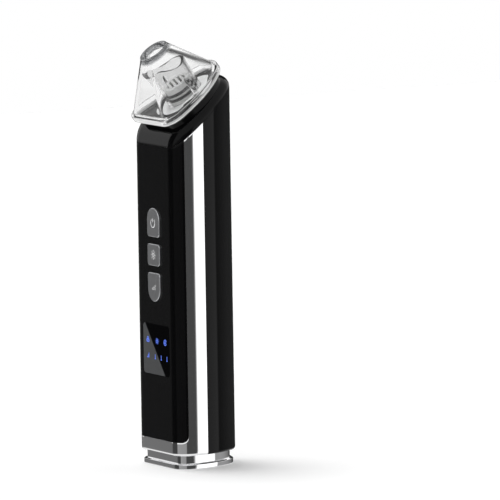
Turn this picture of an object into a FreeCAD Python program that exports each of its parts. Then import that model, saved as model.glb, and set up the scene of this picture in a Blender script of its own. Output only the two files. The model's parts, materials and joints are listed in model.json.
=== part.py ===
import FreeCAD, Part
import math
import os

# Rechargeable blackhead vacuum extractor, standing on its foot.
# Millimetres. Front towards -Y, +Z up, origin at the centre of the foot's underside.

V = FreeCAD.Vector

# ---- casing ----
width = 40.0            # across the sides
depth = 37.0            # front face to back
corner_r = 6.2          # plan radius of the two front corners
back_drop = 5.0         # how much smaller the back's plan radius is than half the width
flank_run = 14.0        # from the end of the straight sides to the back arc's centre, along Y
wall = 1.8
rim_z = 6.1             # underside of the casing
rim_round = 1.2         # rounding of the casing's bottom edge
seam_gap = 0.2          # shadow gap between two casing parts
cover_depth = 4.9       # front face to the front cover's edge
cover_foot_z = 12.2     # lower edge of the front cover
cover_foot_r = 3.0      # rounding of the cover's lower corners
frame_depth = 10.0      # width of the middle frame along Y

# ---- sloping top ----
incline = 36.7          # degrees from horizontal
seat_z = 153.6          # height, at the front face, of the plane that the head seats on
deck_drop = 3.0         # deck below the seat plane
deck_t = 2.0            # deck thickness
collar_drop = 8.2       # lower edge of the collar below the seat plane
deck_round = 4.2        # rounding of the deck's edge at the sides and back
front_round = 13.0      # rounding of the deck's front edge
lip_t = 1.2             # lip of the collar inside the casing
lip_len = 2.8
pedestal_inset = 2.7    # pedestal inside the head's outline
fit_gap = 0.15          # clearance of parts that plug together

# ---- head ----
head_overhang = 0.3     # head flange past the casing's sides
head_front_overhang = 1.6
head_back_gap = 5.85    # head flange short of the deck's back edge, along the slope
head_corner_r = 8.4
head_back_drop = 4.5
head_flank_run = 13.6
flange_t = 3.1
flange_lift = 0.1       # flange above the pedestal
hood_inset = 1.2        # hood wall inside the flange's edge
hood_wall = 1.6
tip_h = 25.4            # tip's rim above the seat plane
tip_r = 7.0
tip_bore_r = 4.4
tip_ring_h = 0.7        # straight ring under the tip's rim
tip_bore_len = 3.0
tip_round = 0.6
port_shift = 0.6        # port behind the middle of the head's outline
tube_t = 1.3            # wall of the clear tube inside the head
clip_x = 13.0           # the head's two snap posts
clip_r = 1.3
clip_plug = 2.4         # how far a post reaches into the pedestal
seal_w = 1.3
seal_t = 0.8

# ---- suction port and filter ----
port_r = 6.5
port_top_h = 6.2
port_t = 0.9            # wall round the filter's pocket
port_pocket_h = 0.5     # floor of the filter's pocket
port_flange = 2.5       # flange under the deck, past the port
port_flange_t = 1.2
gasket_t = 0.8
ring_r = 0.65           # section radius of the port's sealing rings
ring_heights = (2.0, 4.3)
ring_stand = 0.65       # how far a ring stands out of the port
ring_gap = 0.25         # rings inside the head's tube
spigot_r = 1.9
spigot_bore_r = 1.2
spigot_end_gap = 0.3    # spigot's end before the hose's bend
cap_t = 1.5
cap_skirt = 2.6
cap_skirt_t = 0.6
cap_slots = 5
cap_slot_w = 1.0
cap_slot_pitch = 2.1
cap_turn = -18.6        # degrees, slots from the X direction
cap_rim = 1.2
sponge_t = 2.6

# ---- display, buttons and board, stacked from the front face inwards ----
window = {"half": 12.2, "z0": 41.0, "z1": 63.7, "r": 1.7}
window_t = 1.0
window_ledge = 1.0
display_gap = 0.3       # display module behind the cover
display_t = 3.0
icon_t = 0.2
button_half = 5.5
button_small_r = 1.5
buttons = {             # lower edge, upper edge, lower and upper corner radius
    "mode": (73.9, 86.7, button_half, button_small_r),
    "light": (89.9, 99.6, button_small_r, button_small_r),
    "power": (102.8, 115.7, button_small_r, button_half),
}
button_proud = 0.8
button_gap = 0.15
button_flange = 0.8
button_flange_t = 0.7
button_round = 0.35
button_play = 0.1       # rear flange behind the cover
travel = 0.3
switch_half = 3.0
switch_t = 1.6
stem_r = 1.0
stem_gap = 0.08
pcb_edge = 1.5          # board narrower than the chassis, each side
pcb_z = (24.0, 122.0)
pcb_t = 1.2
chassis_side_gap = 3.7  # chassis plate inside the casing's walls
chassis_top_z = 149.0
floor_gap = 0.1         # chassis and socket above the casing's floor
chassis_t = 1.2
rib_t = 2.0
cradle_gap = 0.3

# ---- battery, motor and pump ----
cell_r = 9.2
cell_z0 = 14.0
cell_len = 65.2
stack_gap = 0.7         # cell and motor behind the chassis plate
tab_t = 0.3
motor_r = 11.9
motor_len = 31.0
can_t = 1.0
end_cap_t = 2.0
magnet_t = 1.8
magnet_gap = 0.1
air_gap = 0.8
armature_up = 7.0       # armature above the motor's underside
armature_len = 15.0
commutator_up = 3.2
commutator_len = 2.6
commutator_r = 3.0
brush_gap = 0.15
shaft_r = 1.0
shaft_clear = 0.03
bush_r = 2.5
bush_len = 2.5
pump_r = 12.0
pump_bore_r = 9.6
pump_body_h = 9.0
pump_floor = 1.2
crank_z = 2.2           # crank disc above the pump's underside
crank_h = 3.0
crank_r = 4.0
crank_pin_r = 0.7
crank_throw = 1.2
crank_pin_h = 2.6
swash_z = 6.2
swash_t = 2.0
swash_r = 9.0
chambers = 3
chamber_ring_r = 5.4
chamber_r = 3.4
chamber_h = 2.2
membrane_t = 1.2
valve_t = 4.2
cover_h = 5.0
nipple_back = 6.4       # nipple behind the motor's axis
nipple_len = 6.6
pump_screw_ring_r = 10.9
pump_screw_r = 0.6
damper_t = 0.6
damper_len = 6.0
hose_r = 2.5
hose_bore_r = 1.98
hose_bend_h = -13.7     # where the hose's bend ends, below the seat plane
hose_grip = 3.7         # straight end of the hose, over the spigot

# ---- lights under the deck ----
pipe_r = 1.0
board_gap = 0.6         # light board round the port's flange
board_wide = 3.4
pipe_in = 1.4           # light pipes outside the board's inner edge
board_t = 1.0
led_h = 0.8
led_half = 0.9
board_drop = 1.4        # board below the deck's underside

# ---- foot, charging socket and screws ----
foot_flange_inset = 1.0
foot_flange_z = 2.4
neck_inset = 2.5
foot_wall = 2.0
foot_lift = 0.3         # foot's edge above the ground, where the pad stands
pad_t = 0.8
pad_inset = 3.2
socket_y = 4.0
socket_half = (4.5, 1.65)
socket_foot_z = 1.0
socket_wall = 0.35
tongue_half = (3.3, 0.35)
socket_board_t = 1.2
base_screw_x = 7.0
base_screw_front = 5.4  # foot screws in front of the middle frame's rear edge
base_screw_back = 12.6
boss_r = 2.0
boss_drop = 2.0         # bosses below the battery
screw_r = 0.9
screw_head_r = 1.7
screw_head_t = 1.0
thread_gap = 0.05
post_edge = 2.5         # posts inside the chassis plate's edge
post_r = 2.2
post_gap = 0.2          # post between the battery and the motor
post_end = 3.0          # posts from the battery's foot and from the chassis' top
post_bite = 7.0         # length of a casing screw in its post

# ---- worked out from the above ----
slope = math.radians(incline)
front_y = -depth / 2
cover_y = front_y + cover_depth
frame_y = cover_y + frame_depth
inner_y = front_y + wall
display_y = inner_y + display_gap
pcb_y = display_y + display_t
chassis_y = pcb_y + pcb_t
stack_y = chassis_y + chassis_t
cell_y = stack_y + stack_gap + cell_r
motor_y = stack_y + stack_gap + motor_r
cell_z1 = cell_z0 + cell_len
motor_z0 = cell_z1 + 2 * (post_r + post_gap)
motor_z1 = motor_z0 + motor_len
armature_z = (motor_z0 + armature_up, motor_z0 + armature_up + armature_len)
commutator_z = (motor_z0 + commutator_up, motor_z0 + commutator_up + commutator_len)
pump_z = motor_z1
membrane_z = pump_z + pump_body_h
valve_z = membrane_z + membrane_t
pump_cover_z = valve_z + valve_t
pump_top_z = pump_cover_z + cover_h
deck_len = depth / math.cos(slope)
boss_top_z = cell_z0 - boss_drop
floor_z = rim_z + wall
chassis_z = (floor_z + floor_gap, chassis_top_z)
socket_z = (socket_foot_z, floor_z + floor_gap)
nipple_y = motor_y + nipple_back
base_screws_xy = [(side * base_screw_x, y) for y in (frame_y - base_screw_front, frame_y + base_screw_back)
                  for side in (-1, 1)]
chassis_half = width / 2 - wall - chassis_side_gap
pcb = {"half": chassis_half - pcb_edge, "z0": pcb_z[0], "z1": pcb_z[1]}
post_x = chassis_half - post_edge
post_z = (cell_z0 - post_end, (cell_z1 + motor_z0) / 2, chassis_z[1] - post_end)
port_pocket_r = port_r - port_t
port_flange_r = port_r + port_flange
tube_bore_r = port_r + ring_stand + ring_gap
tube_r = tube_bore_r + tube_t
board_in_r = port_flange_r + board_gap
board_out_r = board_in_r + board_wide
pipe_ring_r = board_in_r + pipe_in
spigot_h = hose_bend_h + spigot_end_gap
hose_end_h = hose_bend_h + hose_grip
far = 4 * (width + depth)

body_plan = {"half": width / 2, "front": front_y, "back": depth / 2, "corner": corner_r,
             "back_r": width / 2 - back_drop, "flank_run": flank_run}
head_half = width / 2 + head_overhang
head_plan = {"half": head_half, "front": -head_front_overhang, "back": deck_len - head_back_gap,
             "corner": head_corner_r, "back_r": head_half - head_back_drop,
             "flank_run": head_flank_run}
port_w = (head_plan["front"] + head_plan["back"]) / 2 + port_shift


# ---- small helpers ----
def box(x0, x1, y0, y1, z0, z1):
    return Part.makeBox(x1 - x0, y1 - y0, z1 - z0, V(x0, y0, z0))


def rod(r, z0, z1, x=0.0, y=0.0):
    return Part.makeCylinder(r, z1 - z0, V(x, y, z0))


def pipe(r, bore, z0, z1, x=0.0, y=0.0):
    return rod(r, z0, z1, x, y).cut(rod(bore, z0 - 1, z1 + 1, x, y))


def rod_y(r, y0, y1, x, z):
    return Part.makeCylinder(r, y1 - y0, V(x, y0, z), V(0, 1, 0))


def tilt(shape):
    """Place a shape drawn with Z square to the seat plane and Y up the slope."""
    shape.Placement = FreeCAD.Placement(V(0, front_y, seat_z), FreeCAD.Rotation(V(1, 0, 0), incline))
    return shape


def slab(h0, h1):
    """Everything between two planes parallel to the seat plane."""
    return tilt(box(-far, far, -far, far, h0, h1))


def polar(r, degrees, x=0.0, y=0.0):
    turn = math.radians(degrees)
    return x + r * math.cos(turn), y + r * math.sin(turn)


def fuse(*shapes):
    whole = shapes[0]
    for shape in shapes[1:]:
        whole = whole.fuse(shape)
    return whole.removeSplitter()


def arc(p, q, r):
    return Part.Arc(p, q, r).toShape()


def plan_points(plan, inset):
    """Corners of a D outline, and the radii and centres of its flank and back arcs."""
    half = plan["half"] - inset
    front = plan["front"] + inset
    r = plan["corner"] - inset
    back_radius = plan["back_r"] - inset
    back_c = plan["back"] - plan["back_r"]
    side_end = back_c - plan["flank_run"]
    tight = half - back_radius
    flank_r = half + (plan["flank_run"] ** 2 - tight ** 2) / (2 * tight)
    turn = math.atan2(plan["flank_run"], flank_r - half)
    flank_x = half - flank_r
    join = (flank_x + flank_r * math.cos(turn), side_end + flank_r * math.sin(turn))
    half_way = (flank_x + flank_r * math.cos(turn / 2), side_end + flank_r * math.sin(turn / 2))
    bevel = r * (1 - math.sqrt(0.5))
    right = [(half - r, front), (half, front + r), (half, side_end), join]
    mids = [None, (half - bevel, front + bevel), None, half_way, (0, back_c + back_radius)]
    return right, mids


def plan_wire(plan, inset, z):
    right, mids = plan_points(plan, inset)
    left = [(-x, y) for x, y in reversed(right)]
    points = [left[-1]] + right + left
    middles = mids + [(-m[0], m[1]) if m else None for m in reversed(mids[1:4])]
    edges = []
    for a, b, m in zip(points, points[1:], middles):
        start = V(a[0], a[1], z)
        end = V(b[0], b[1], z)
        edges.append(arc(start, V(m[0], m[1], z), end) if m else Part.makeLine(start, end))
    return Part.Wire(edges)


def prism(plan, inset, z0, z1):
    return Part.Face(plan_wire(plan, inset, z0)).extrude(V(0, 0, z1 - z0))


def ring_wire(r, z):
    """A circle about the port, split where the head's outline is, so that both can be lofted."""
    right, mids = plan_points(head_plan, 0)
    turns = [math.atan2(y - port_w, x) for x, y in right]
    turns = [math.pi - turns[0] - 2 * math.pi] + turns + [math.pi - t for t in reversed(turns)]
    edges = []
    for a, b in zip(turns, turns[1:]):
        stops = [V(r * math.cos(t), port_w + r * math.sin(t), z) for t in (a, (a + b) / 2, b)]
        edges.append(arc(*stops))
    return Part.Wire(edges)


def hood_solid(inset, low_h, tip_radius, top_h):
    """Ruled solid from the head's outline up to a circle about the port."""
    return Part.makeLoft([plan_wire(head_plan, inset, low_h), ring_wire(tip_radius, top_h)], True, True)


def plate_xz(half, z0, z1, low_r, high_r, y0, y1, grow=0.0):
    """Rounded plate in the XZ plane, with its own lower and upper corner radii."""
    half, z0, z1 = half + grow, z0 - grow, z1 + grow
    low_r, high_r = low_r + grow, high_r + grow
    k = 1 - math.sqrt(0.5)
    stops = [(-half + low_r, z0), (half - low_r, z0), (half, z0 + low_r), (half, z1 - high_r),
             (half - high_r, z1), (-half + high_r, z1), (-half, z1 - high_r), (-half, z0 + low_r)]
    mids = [None, (half - k * low_r, z0 + k * low_r), None, (half - k * high_r, z1 - k * high_r),
            None, (-half + k * high_r, z1 - k * high_r), None, (-half + k * low_r, z0 + k * low_r)]
    edges = []
    for a, b, m in zip(stops, stops[1:] + stops[:1], mids):
        start = V(a[0], y0, a[1])
        end = V(b[0], y0, b[1])
        if start.distanceToPoint(end) < 1e-6:
            continue
        edges.append(arc(start, V(m[0], y0, m[1]), end) if m else Part.makeLine(start, end))
    return Part.Face(Part.Wire(edges)).extrude(V(0, y1 - y0, 0))


def screw(r, length, head_r, head_t):
    """Pan-head screw: head above Z = 0, shank below, with a driver slot."""
    body = fuse(rod(head_r, 0, head_t), rod(r, -length, 0))
    return body.cut(box(-head_r, head_r, -0.2, 0.2, head_t / 2, head_t + 1))


def placed(shape, x, y, z, axis=None, degrees=0):
    copy = shape.copy()
    copy.Placement = FreeCAD.Placement(V(x, y, z), FreeCAD.Rotation(axis or V(1, 0, 0), degrees))
    return copy


def plane_edges(shape, h):
    """Edges that lie in the plane at height h over the seat plane."""
    found = []
    for edge in shape.Edges:
        spots = [edge.valueAt(t) for t in edge.ParameterRange]
        heights = [-(p.y - front_y) * math.sin(slope) + (p.z - seat_z) * math.cos(slope) for p in spots]
        if max(abs(height - h) for height in heights) < 1e-4:
            found.append(edge)
    return found


# ---- casing ----
def front_profile():
    """Side view of the casing with its rounded front top edge, carried across the whole width."""
    turn = math.radians(90 - incline)
    run = front_round * math.tan(turn / 2)
    top = V(-far, front_y, seat_z - deck_drop / math.cos(slope))
    up = V(0, math.cos(slope), math.sin(slope))
    low = top - V(0, 0, run)
    centre = low + V(0, front_round, 0)
    reach = (top - centre).normalize() * front_round
    high = top + up * run
    end = top + up * far
    out = V(-far, front_y - wall, low.z)
    edges = [arc(low, centre + reach, high), Part.makeLine(high, end),
             Part.makeLine(end, V(-far, end.y, -far)), Part.makeLine(V(-far, end.y, -far), V(-far, out.y, -far)),
             Part.makeLine(V(-far, out.y, -far), out), Part.makeLine(out, low)]
    return Part.Face(Part.Wire(edges)).extrude(V(2 * far, 0, 0))


def casing():
    """Whole hollow casing, before it is split into its parts."""
    outer = prism(body_plan, 0, rim_z, seat_z + far / 2).common(slab(-far * 2, -deck_drop))
    outer = outer.makeFillet(deck_round, plane_edges(outer, -deck_drop))
    outer = outer.common(front_profile())
    bottom = [e for e in outer.Edges if max(abs(v.Z - rim_z) for v in e.Vertexes) < 1e-4]
    outer = outer.makeFillet(rim_round, bottom)
    under_deck = -deck_drop - deck_t
    inner = prism(body_plan, wall, rim_z + wall, seat_z + far / 2).common(slab(-far * 2, under_deck))
    inner = inner.makeFillet(deck_round - wall, plane_edges(inner, under_deck))
    return outer.cut(inner)


def cover_zone(gap):
    """Space that the front cover fills, seen from the side, grown by gap."""
    edge_y = cover_y + gap
    low_z = cover_foot_z - gap
    r = cover_foot_r
    k = r * (1 - math.sqrt(0.5))
    spots = [(front_y - far, low_z), (edge_y - r, low_z), (edge_y, low_z + r), (edge_y, far * 2),
             (front_y - far, far * 2)]
    p = [V(-far, y, z) for y, z in spots]
    edges = [Part.makeLine(p[0], p[1]), arc(p[1], V(-far, edge_y - k, low_z + k), p[2]),
             Part.makeLine(p[2], p[3]), Part.makeLine(p[3], p[4]), Part.makeLine(p[4], p[0])]
    return Part.Face(Part.Wire(edges)).extrude(V(2 * far, 0, 0))


shell = casing()
below_collar = shell.common(slab(-far * 2, -collar_drop - seam_gap / 2))
behind = box(-far, far, frame_y + seam_gap / 2, far, -far, far * 2)
post_places = [(side * post_x, z) for z in post_z for side in (-1, 1)]


def window_zone(y0, y1, grow):
    return plate_xz(window["half"], window["z0"], window["z1"], window["r"], window["r"], y0, y1, grow)


def button_zone(name, y0, y1, grow):
    z0, z1, low_r, high_r = buttons[name]
    return plate_xz(button_half, z0, z1, low_r, high_r, y0, y1, grow)


def front_cover():
    cover = below_collar.common(cover_zone(-seam_gap / 2))
    cover = cover.cut(window_zone(front_y - 1, front_y + window_t, fit_gap / 2))
    cover = cover.cut(window_zone(front_y, inner_y + 1, -window_ledge))
    for name in buttons:
        cover = cover.cut(button_zone(name, front_y - 1, inner_y + 1, button_gap))
    return cover


def base_boss(x, y):
    return rod(boss_r, rim_z + wall / 2, boss_top_z, x, y)


def base_pilot(x, y):
    return rod(screw_r + thread_gap, rim_z - 1, boss_top_z + 1, x, y)


def mid_frame():
    frame = below_collar.cut(cover_zone(seam_gap / 2))
    frame = frame.cut(box(-far, far, frame_y - seam_gap / 2, far, -far, far * 2))
    for x, y in base_screws_xy:
        if y < frame_y:
            frame = fuse(frame, base_boss(x, y)).cut(base_pilot(x, y))
    return frame


def cradle(z, r, y, front, back):
    """Rib across the casing that holds a round part of radius r at height z."""
    rib = prism(body_plan, wall / 2, z, z + rib_t).common(box(-far, far, front, back, z, z + rib_t))
    return rib.cut(rod(r + cradle_gap, z - 1, z + rib_t + 1, 0, y))


def back_shell():
    back = below_collar.common(behind)
    inside = prism(body_plan, wall / 2, rim_z + wall / 2, seat_z + far / 2)
    for z in (cell_z0 + 6, cell_z1 - 6 - rib_t):
        back = back.fuse(cradle(z, cell_r, cell_y, frame_y + cell_r, depth / 2))
    for z in (motor_z0 + 6, motor_z1 - 6 - rib_t):
        back = back.fuse(cradle(z, motor_r, motor_y, frame_y + motor_r, depth / 2))
    for x, z in post_places:
        back = back.fuse(rod_y(post_r, stack_y, depth / 2, x, z).common(inside))
    for x, y in base_screws_xy:
        if y > frame_y:
            back = back.fuse(base_boss(x, y)).cut(base_pilot(x, y))
    for x, z in post_places:
        back = back.cut(rod_y(screw_r + thread_gap, stack_y - 1, stack_y + post_bite, x, z))
    hole = box(-socket_half[0] - fit_gap, socket_half[0] + fit_gap, socket_y - socket_half[1] - fit_gap,
               socket_y + socket_half[1] + fit_gap, rim_z - 1, rim_z + wall + 1)
    return back.cut(hole).removeSplitter()


def pipe_places():
    return [polar(pipe_ring_r, 45 + 90 * i, 0, port_w) for i in range(4)]


def top_collar():
    collar = shell.common(slab(-collar_drop + seam_gap / 2, far))
    under_deck = -deck_drop - deck_t
    pedestal = tilt(prism(head_plan, pedestal_inset, under_deck, 0))
    lip = prism(body_plan, wall + fit_gap, rim_z, seat_z + far / 2)
    lip = lip.cut(prism(body_plan, wall + fit_gap + lip_t, rim_z - 1, seat_z + far))
    lip = lip.common(slab(-collar_drop - lip_len, -collar_drop + lip_t))
    hanger = shell_inner_band().common(slab(-collar_drop + seam_gap / 2, -collar_drop + lip_t))
    collar = fuse(collar, pedestal, lip, hanger)
    spacers = [tilt(rod(pipe_r, under_deck - board_drop, under_deck + deck_t / 2,
                        *polar(pipe_ring_r, 90 * i, 0, port_w))) for i in range(4)]
    collar = fuse(collar, *spacers)
    cuts = [rod(port_r + fit_gap, under_deck - 1, 1, 0, port_w)]
    cuts += [rod(pipe_r + fit_gap / 2, under_deck - 1, 1, x, w) for x, w in pipe_places()]
    cuts += [rod(clip_r + 2 * fit_gap, -clip_plug - 0.3, 1, side * clip_x, port_w) for side in (-1, 1)]
    for hole in cuts:
        collar = collar.cut(tilt(hole))
    return collar


def shell_inner_band():
    """Band that joins the collar's wall to its lip."""
    outer = prism(body_plan, wall / 2, rim_z, seat_z + far / 2)
    return outer.cut(prism(body_plan, wall + fit_gap + lip_t, rim_z - 1, seat_z + far))


# ---- foot ----
def foot():
    flange = prism(body_plan, foot_flange_inset, foot_lift, foot_flange_z)
    rims = [e for e in flange.Edges if abs(e.Vertexes[0].Z - e.Vertexes[-1].Z) < 1e-4]
    flange = flange.makeFillet(0.4, rims)
    neck = prism(body_plan, neck_inset, foot_flange_z - 0.5, rim_z)
    neck = neck.cut(prism(body_plan, neck_inset + foot_wall, foot_flange_z, rim_z + 1))
    piece = fuse(flange, neck)
    for x, y in base_screws_xy:
        piece = fuse(piece, rod(screw_head_r + 1.2, foot_flange_z - 0.5, rim_z, x, y))
        piece = piece.cut(rod(screw_r + fit_gap, 0, rim_z + 1, x, y))
        piece = piece.cut(rod(screw_head_r + fit_gap, 0, pad_t + screw_head_t, x, y))
    piece = piece.cut(prism(body_plan, pad_inset - fit_gap, 0, pad_t))
    hx, hy = socket_half[0] + fit_gap, socket_half[1] + fit_gap
    return piece.cut(box(-hx, hx, socket_y - hy, socket_y + hy, 0, rim_z + 1))


def foot_pad():
    pad = prism(body_plan, pad_inset, 0, pad_t)
    hx, hy = socket_half[0] + 1.0, socket_half[1] + 1.0
    return pad.cut(box(-hx, hx, socket_y - hy, socket_y + hy, -1, pad_t + 1))


def usb_socket():
    z0, z1 = socket_z
    (hx, hy), (tx, ty) = socket_half, tongue_half
    outer = box(-hx, hx, socket_y - hy, socket_y + hy, z0, z1)
    ix, iy = hx - socket_wall, hy - socket_wall
    outer = outer.cut(box(-ix, ix, socket_y - iy, socket_y + iy, z0 - 1, z1 - 1.5))
    return fuse(outer, box(-tx, tx, socket_y - ty, socket_y + ty, z0 + 1, z1 - 1))


def socket_board():
    z = socket_z[1]
    return box(-socket_half[0], socket_half[0], socket_y - 2 * socket_half[1], socket_y + 2 * socket_half[1],
               z, z + socket_board_t)


def base_screw_set():
    one = screw(screw_r, boss_top_z - pad_t - screw_head_t - 1, screw_head_r, screw_head_t)
    return Part.makeCompound([placed(one, x, y, pad_t + screw_head_t, V(1, 0, 0), 180)
                              for x, y in base_screws_xy])


# ---- head ----
def hood():
    edge = prism(head_plan, 0, flange_lift, flange_t)
    rims = [e for e in edge.Edges if abs(e.Vertexes[0].Z - e.Vertexes[-1].Z) < 1e-4]
    edge = edge.makeFillet(0.6, rims)
    outer = hood_solid(hood_inset, flange_t - 0.5, tip_r, tip_h - tip_ring_h)
    ring = rod(tip_r, tip_h - tip_ring_h, tip_h, 0, port_w)
    ring = ring.makeFillet(tip_round, [e for e in ring.Edges if e.Vertexes[0].Z > tip_h - 0.1
                                       and e.Vertexes[-1].Z > tip_h - 0.1])
    outer = outer.fuse(edge).fuse(ring)
    outer = outer.cut(hood_hollow(0)).cut(rod(tip_bore_r, tip_h - tip_bore_len - 1, tip_h + 1, 0, port_w))
    base = prism(head_plan, hood_inset + hood_wall, flange_lift - 1, flange_t)
    return tilt(outer.cut(base))


def hood_hollow(gap):
    """Inside of the hood, drawn in by gap."""
    low = prism(head_plan, hood_inset + hood_wall + gap, -far / 10, flange_t)
    high = hood_solid(hood_inset + hood_wall + gap, flange_t, tip_bore_r, tip_h - tip_bore_len)
    return low.fuse(high)


def head_tube():
    tube = pipe(tube_r, tube_bore_r, flange_lift, tip_h - tip_bore_len, 0, port_w)
    return tilt(tube.common(hood_hollow(3 * fit_gap)))


def head_clips():
    hollow = hood_hollow(3 * fit_gap)
    posts = []
    for side in (-1, 1):
        post = rod(clip_r, -clip_plug, tip_h, side * clip_x, port_w).common(hollow)
        posts.append(tilt(post))
    return Part.makeCompound(posts)


def head_seal():
    gap = 0.3
    ring = prism(head_plan, pedestal_inset - gap - seal_w, flange_lift - seal_t, flange_lift)
    return tilt(ring.cut(prism(head_plan, pedestal_inset - gap, -seal_t - 1, 1)))


# ---- port and filter ----
def suction_port():
    under = -deck_drop - deck_t - gasket_t
    body = fuse(rod(port_r, under - port_flange_t, port_top_h, 0, port_w),
                rod(port_flange_r, under - port_flange_t, under, 0, port_w),
                rod(spigot_r, spigot_h, under, 0, port_w))
    body = body.cut(rod(port_pocket_r, port_pocket_h, port_top_h + 1, 0, port_w))
    body = body.cut(rod(spigot_bore_r, spigot_h - 1, port_top_h, 0, port_w))
    for h in ring_heights:
        groove_r = port_r + ring_stand - ring_r
        body = body.cut(Part.makeTorus(groove_r, ring_r + thread_gap, V(0, port_w, h)))
    return tilt(body)


def port_o_rings():
    groove_r = port_r + ring_stand - ring_r
    return Part.makeCompound([tilt(Part.makeTorus(groove_r, ring_r, V(0, port_w, h))) for h in ring_heights])


def port_gasket():
    top = -deck_drop - deck_t
    return tilt(pipe(port_flange_r, port_r + fit_gap, top - gasket_t, top, 0, port_w))


def filter_cap():
    top = rod(port_r, port_top_h, port_top_h + cap_t, 0, port_w)
    top = top.makeFillet(0.4, [e for e in top.Edges if e.Vertexes[0].Z > port_top_h + 0.1
                               and e.Vertexes[-1].Z > port_top_h + 0.1])
    skirt_r = port_pocket_r - fit_gap
    skirt = pipe(skirt_r, skirt_r - cap_skirt_t, port_top_h - cap_skirt, port_top_h + 0.2, 0, port_w)
    cap = fuse(top, skirt)
    reach = port_r - cap_rim
    for i in range(cap_slots):
        off = (i - (cap_slots - 1) / 2) * cap_slot_pitch
        half = math.sqrt(reach ** 2 - (abs(off) + cap_slot_w / 2) ** 2)
        slot = box(-half, half, off - cap_slot_w / 2, off + cap_slot_w / 2, 0, port_top_h + cap_t + 1)
        slot = slot.common(rod(skirt_r - cap_skirt_t, 0, port_top_h + cap_t + 2))
        cap = cap.cut(placed(slot, 0, port_w, 0, V(0, 0, 1), cap_turn))
    return tilt(cap)


def filter_sponge():
    return tilt(rod(port_pocket_r - 2 * fit_gap, port_pocket_h + fit_gap, port_pocket_h + fit_gap + sponge_t,
                    0, port_w))


# ---- display, buttons and boards ----
def display_window():
    return window_zone(front_y, front_y + window_t, -fit_gap / 2)


def display_module():
    half = window["half"] + 0.6
    return box(-half, half, display_y, pcb_y, window["z0"] - 1, window["z1"] + 1)


def display_icons():
    """Lit signs on the module: three round ones above, four small bars below."""
    wide = 2 * window["half"]
    high = window["z1"] - window["z0"]
    row_z = (window["z1"] - 0.354 * high, window["z1"] - 0.648 * high)
    signs = [rod_y(1.5, display_y - icon_t, display_y, (f - 0.5) * wide, row_z[0])
             for f in (0.2, 0.53, 0.84)]
    for f in (0.2, 0.45, 0.69, 0.9):
        x = (f - 0.5) * wide
        signs.append(box(x - 0.7, x + 0.7, display_y - icon_t, display_y, row_z[1] - 1.2, row_z[1] + 1.2))
    return Part.makeCompound(signs)


def button(name):
    rear = inner_y + button_play
    cap = button_zone(name, front_y - button_proud, rear, 0)
    face = [e for e in cap.Edges if max(abs(v.Y - (front_y - button_proud)) for v in e.Vertexes) < 1e-4]
    cap = cap.makeFillet(button_round, face)
    return fuse(cap, button_zone(name, rear, rear + button_flange_t, button_flange))


def button_mid_z(name):
    return (buttons[name][0] + buttons[name][1]) / 2


def switch_stem(name):
    start = inner_y + button_play + button_flange_t
    return rod_y(stem_r, start, pcb_y - travel - stem_gap, 0, button_mid_z(name))


def tact_switches():
    bodies = []
    for name in buttons:
        z = button_mid_z(name)
        body = box(-switch_half, switch_half, pcb_y - switch_t, pcb_y, z - switch_half, z + switch_half)
        bodies.append(body.cut(rod_y(stem_r + stem_gap, pcb_y - switch_t - 1, pcb_y - stem_gap / 2, 0, z)))
    return Part.makeCompound(bodies)


pcb_screw_places = [(side * (pcb["half"] - 2.0), z) for side in (-1, 1)
                    for z in (pcb["z0"] + 3.0, pcb["z1"] - 3.0)]


def main_pcb():
    board = box(-pcb["half"], pcb["half"], pcb_y, chassis_y, pcb["z0"], pcb["z1"])
    for x, z in post_places:
        board = board.cut(rod_y(screw_head_r + 2 * fit_gap, pcb_y - 1, chassis_y + 1, x, z))
    for x, z in pcb_screw_places:
        board = board.cut(rod_y(screw_r + thread_gap, pcb_y - 1, chassis_y + 1, x, z))
    return board


def chassis():
    plate = box(-chassis_half, chassis_half, chassis_y, stack_y, chassis_z[0], chassis_z[1])
    round_part = {"cell": (cell_r, cell_y, cell_z0, cell_z1),
                  "motor": (motor_r, motor_y, motor_z0, motor_z1)}
    for r, y, z0, z1 in round_part.values():
        for z in (z0 + 10, z1 - 10 - rib_t):
            rib = box(-r, r, chassis_y, y - r / 2, z, z + rib_t)
            plate = plate.fuse(rib.cut(rod(r + cradle_gap, z - 1, z + rib_t + 1, 0, y)))
    for x, z in post_places:
        plate = plate.cut(rod_y(screw_r + fit_gap, chassis_y - 1, stack_y + 1, x, z))
    for x, z in pcb_screw_places:
        plate = plate.cut(rod_y(screw_r + thread_gap, chassis_y - 1, stack_y + 1, x, z))
    return plate.removeSplitter()


def board_screws():
    one = screw(screw_r, pcb_t + chassis_t, screw_head_r, screw_head_t)
    return Part.makeCompound([placed(one, x, pcb_y, z, V(1, 0, 0), 90) for x, z in pcb_screw_places])


def casing_screws():
    one = screw(screw_r, chassis_t + post_bite - 1, screw_head_r, screw_head_t)
    return Part.makeCompound([placed(one, x, chassis_y, z, V(1, 0, 0), 90) for x, z in post_places])


# ---- battery ----
def battery_cell():
    return rod(cell_r, cell_z0, cell_z1, 0, cell_y)


def battery_tabs():
    ends = (cell_z0 - tab_t, cell_z1)
    return Part.makeCompound([box(-4, 4, cell_y - 6, cell_y + 3, z, z + tab_t) for z in ends])


# ---- motor ----
def motor_can():
    can = rod(motor_r, motor_z0, motor_z1, 0, motor_y)
    can = can.cut(rod(motor_r - can_t, motor_z0 - 1, motor_z1 - can_t, 0, motor_y))
    return can.cut(rod(bush_r + thread_gap, motor_z0, motor_z1 + 1, 0, motor_y))


def motor_end_cap():
    cap = rod(motor_r - can_t - thread_gap, motor_z0, motor_z0 + end_cap_t, 0, motor_y)
    return cap.cut(rod(bush_r + thread_gap, motor_z0 - 1, motor_z1, 0, motor_y))


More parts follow.
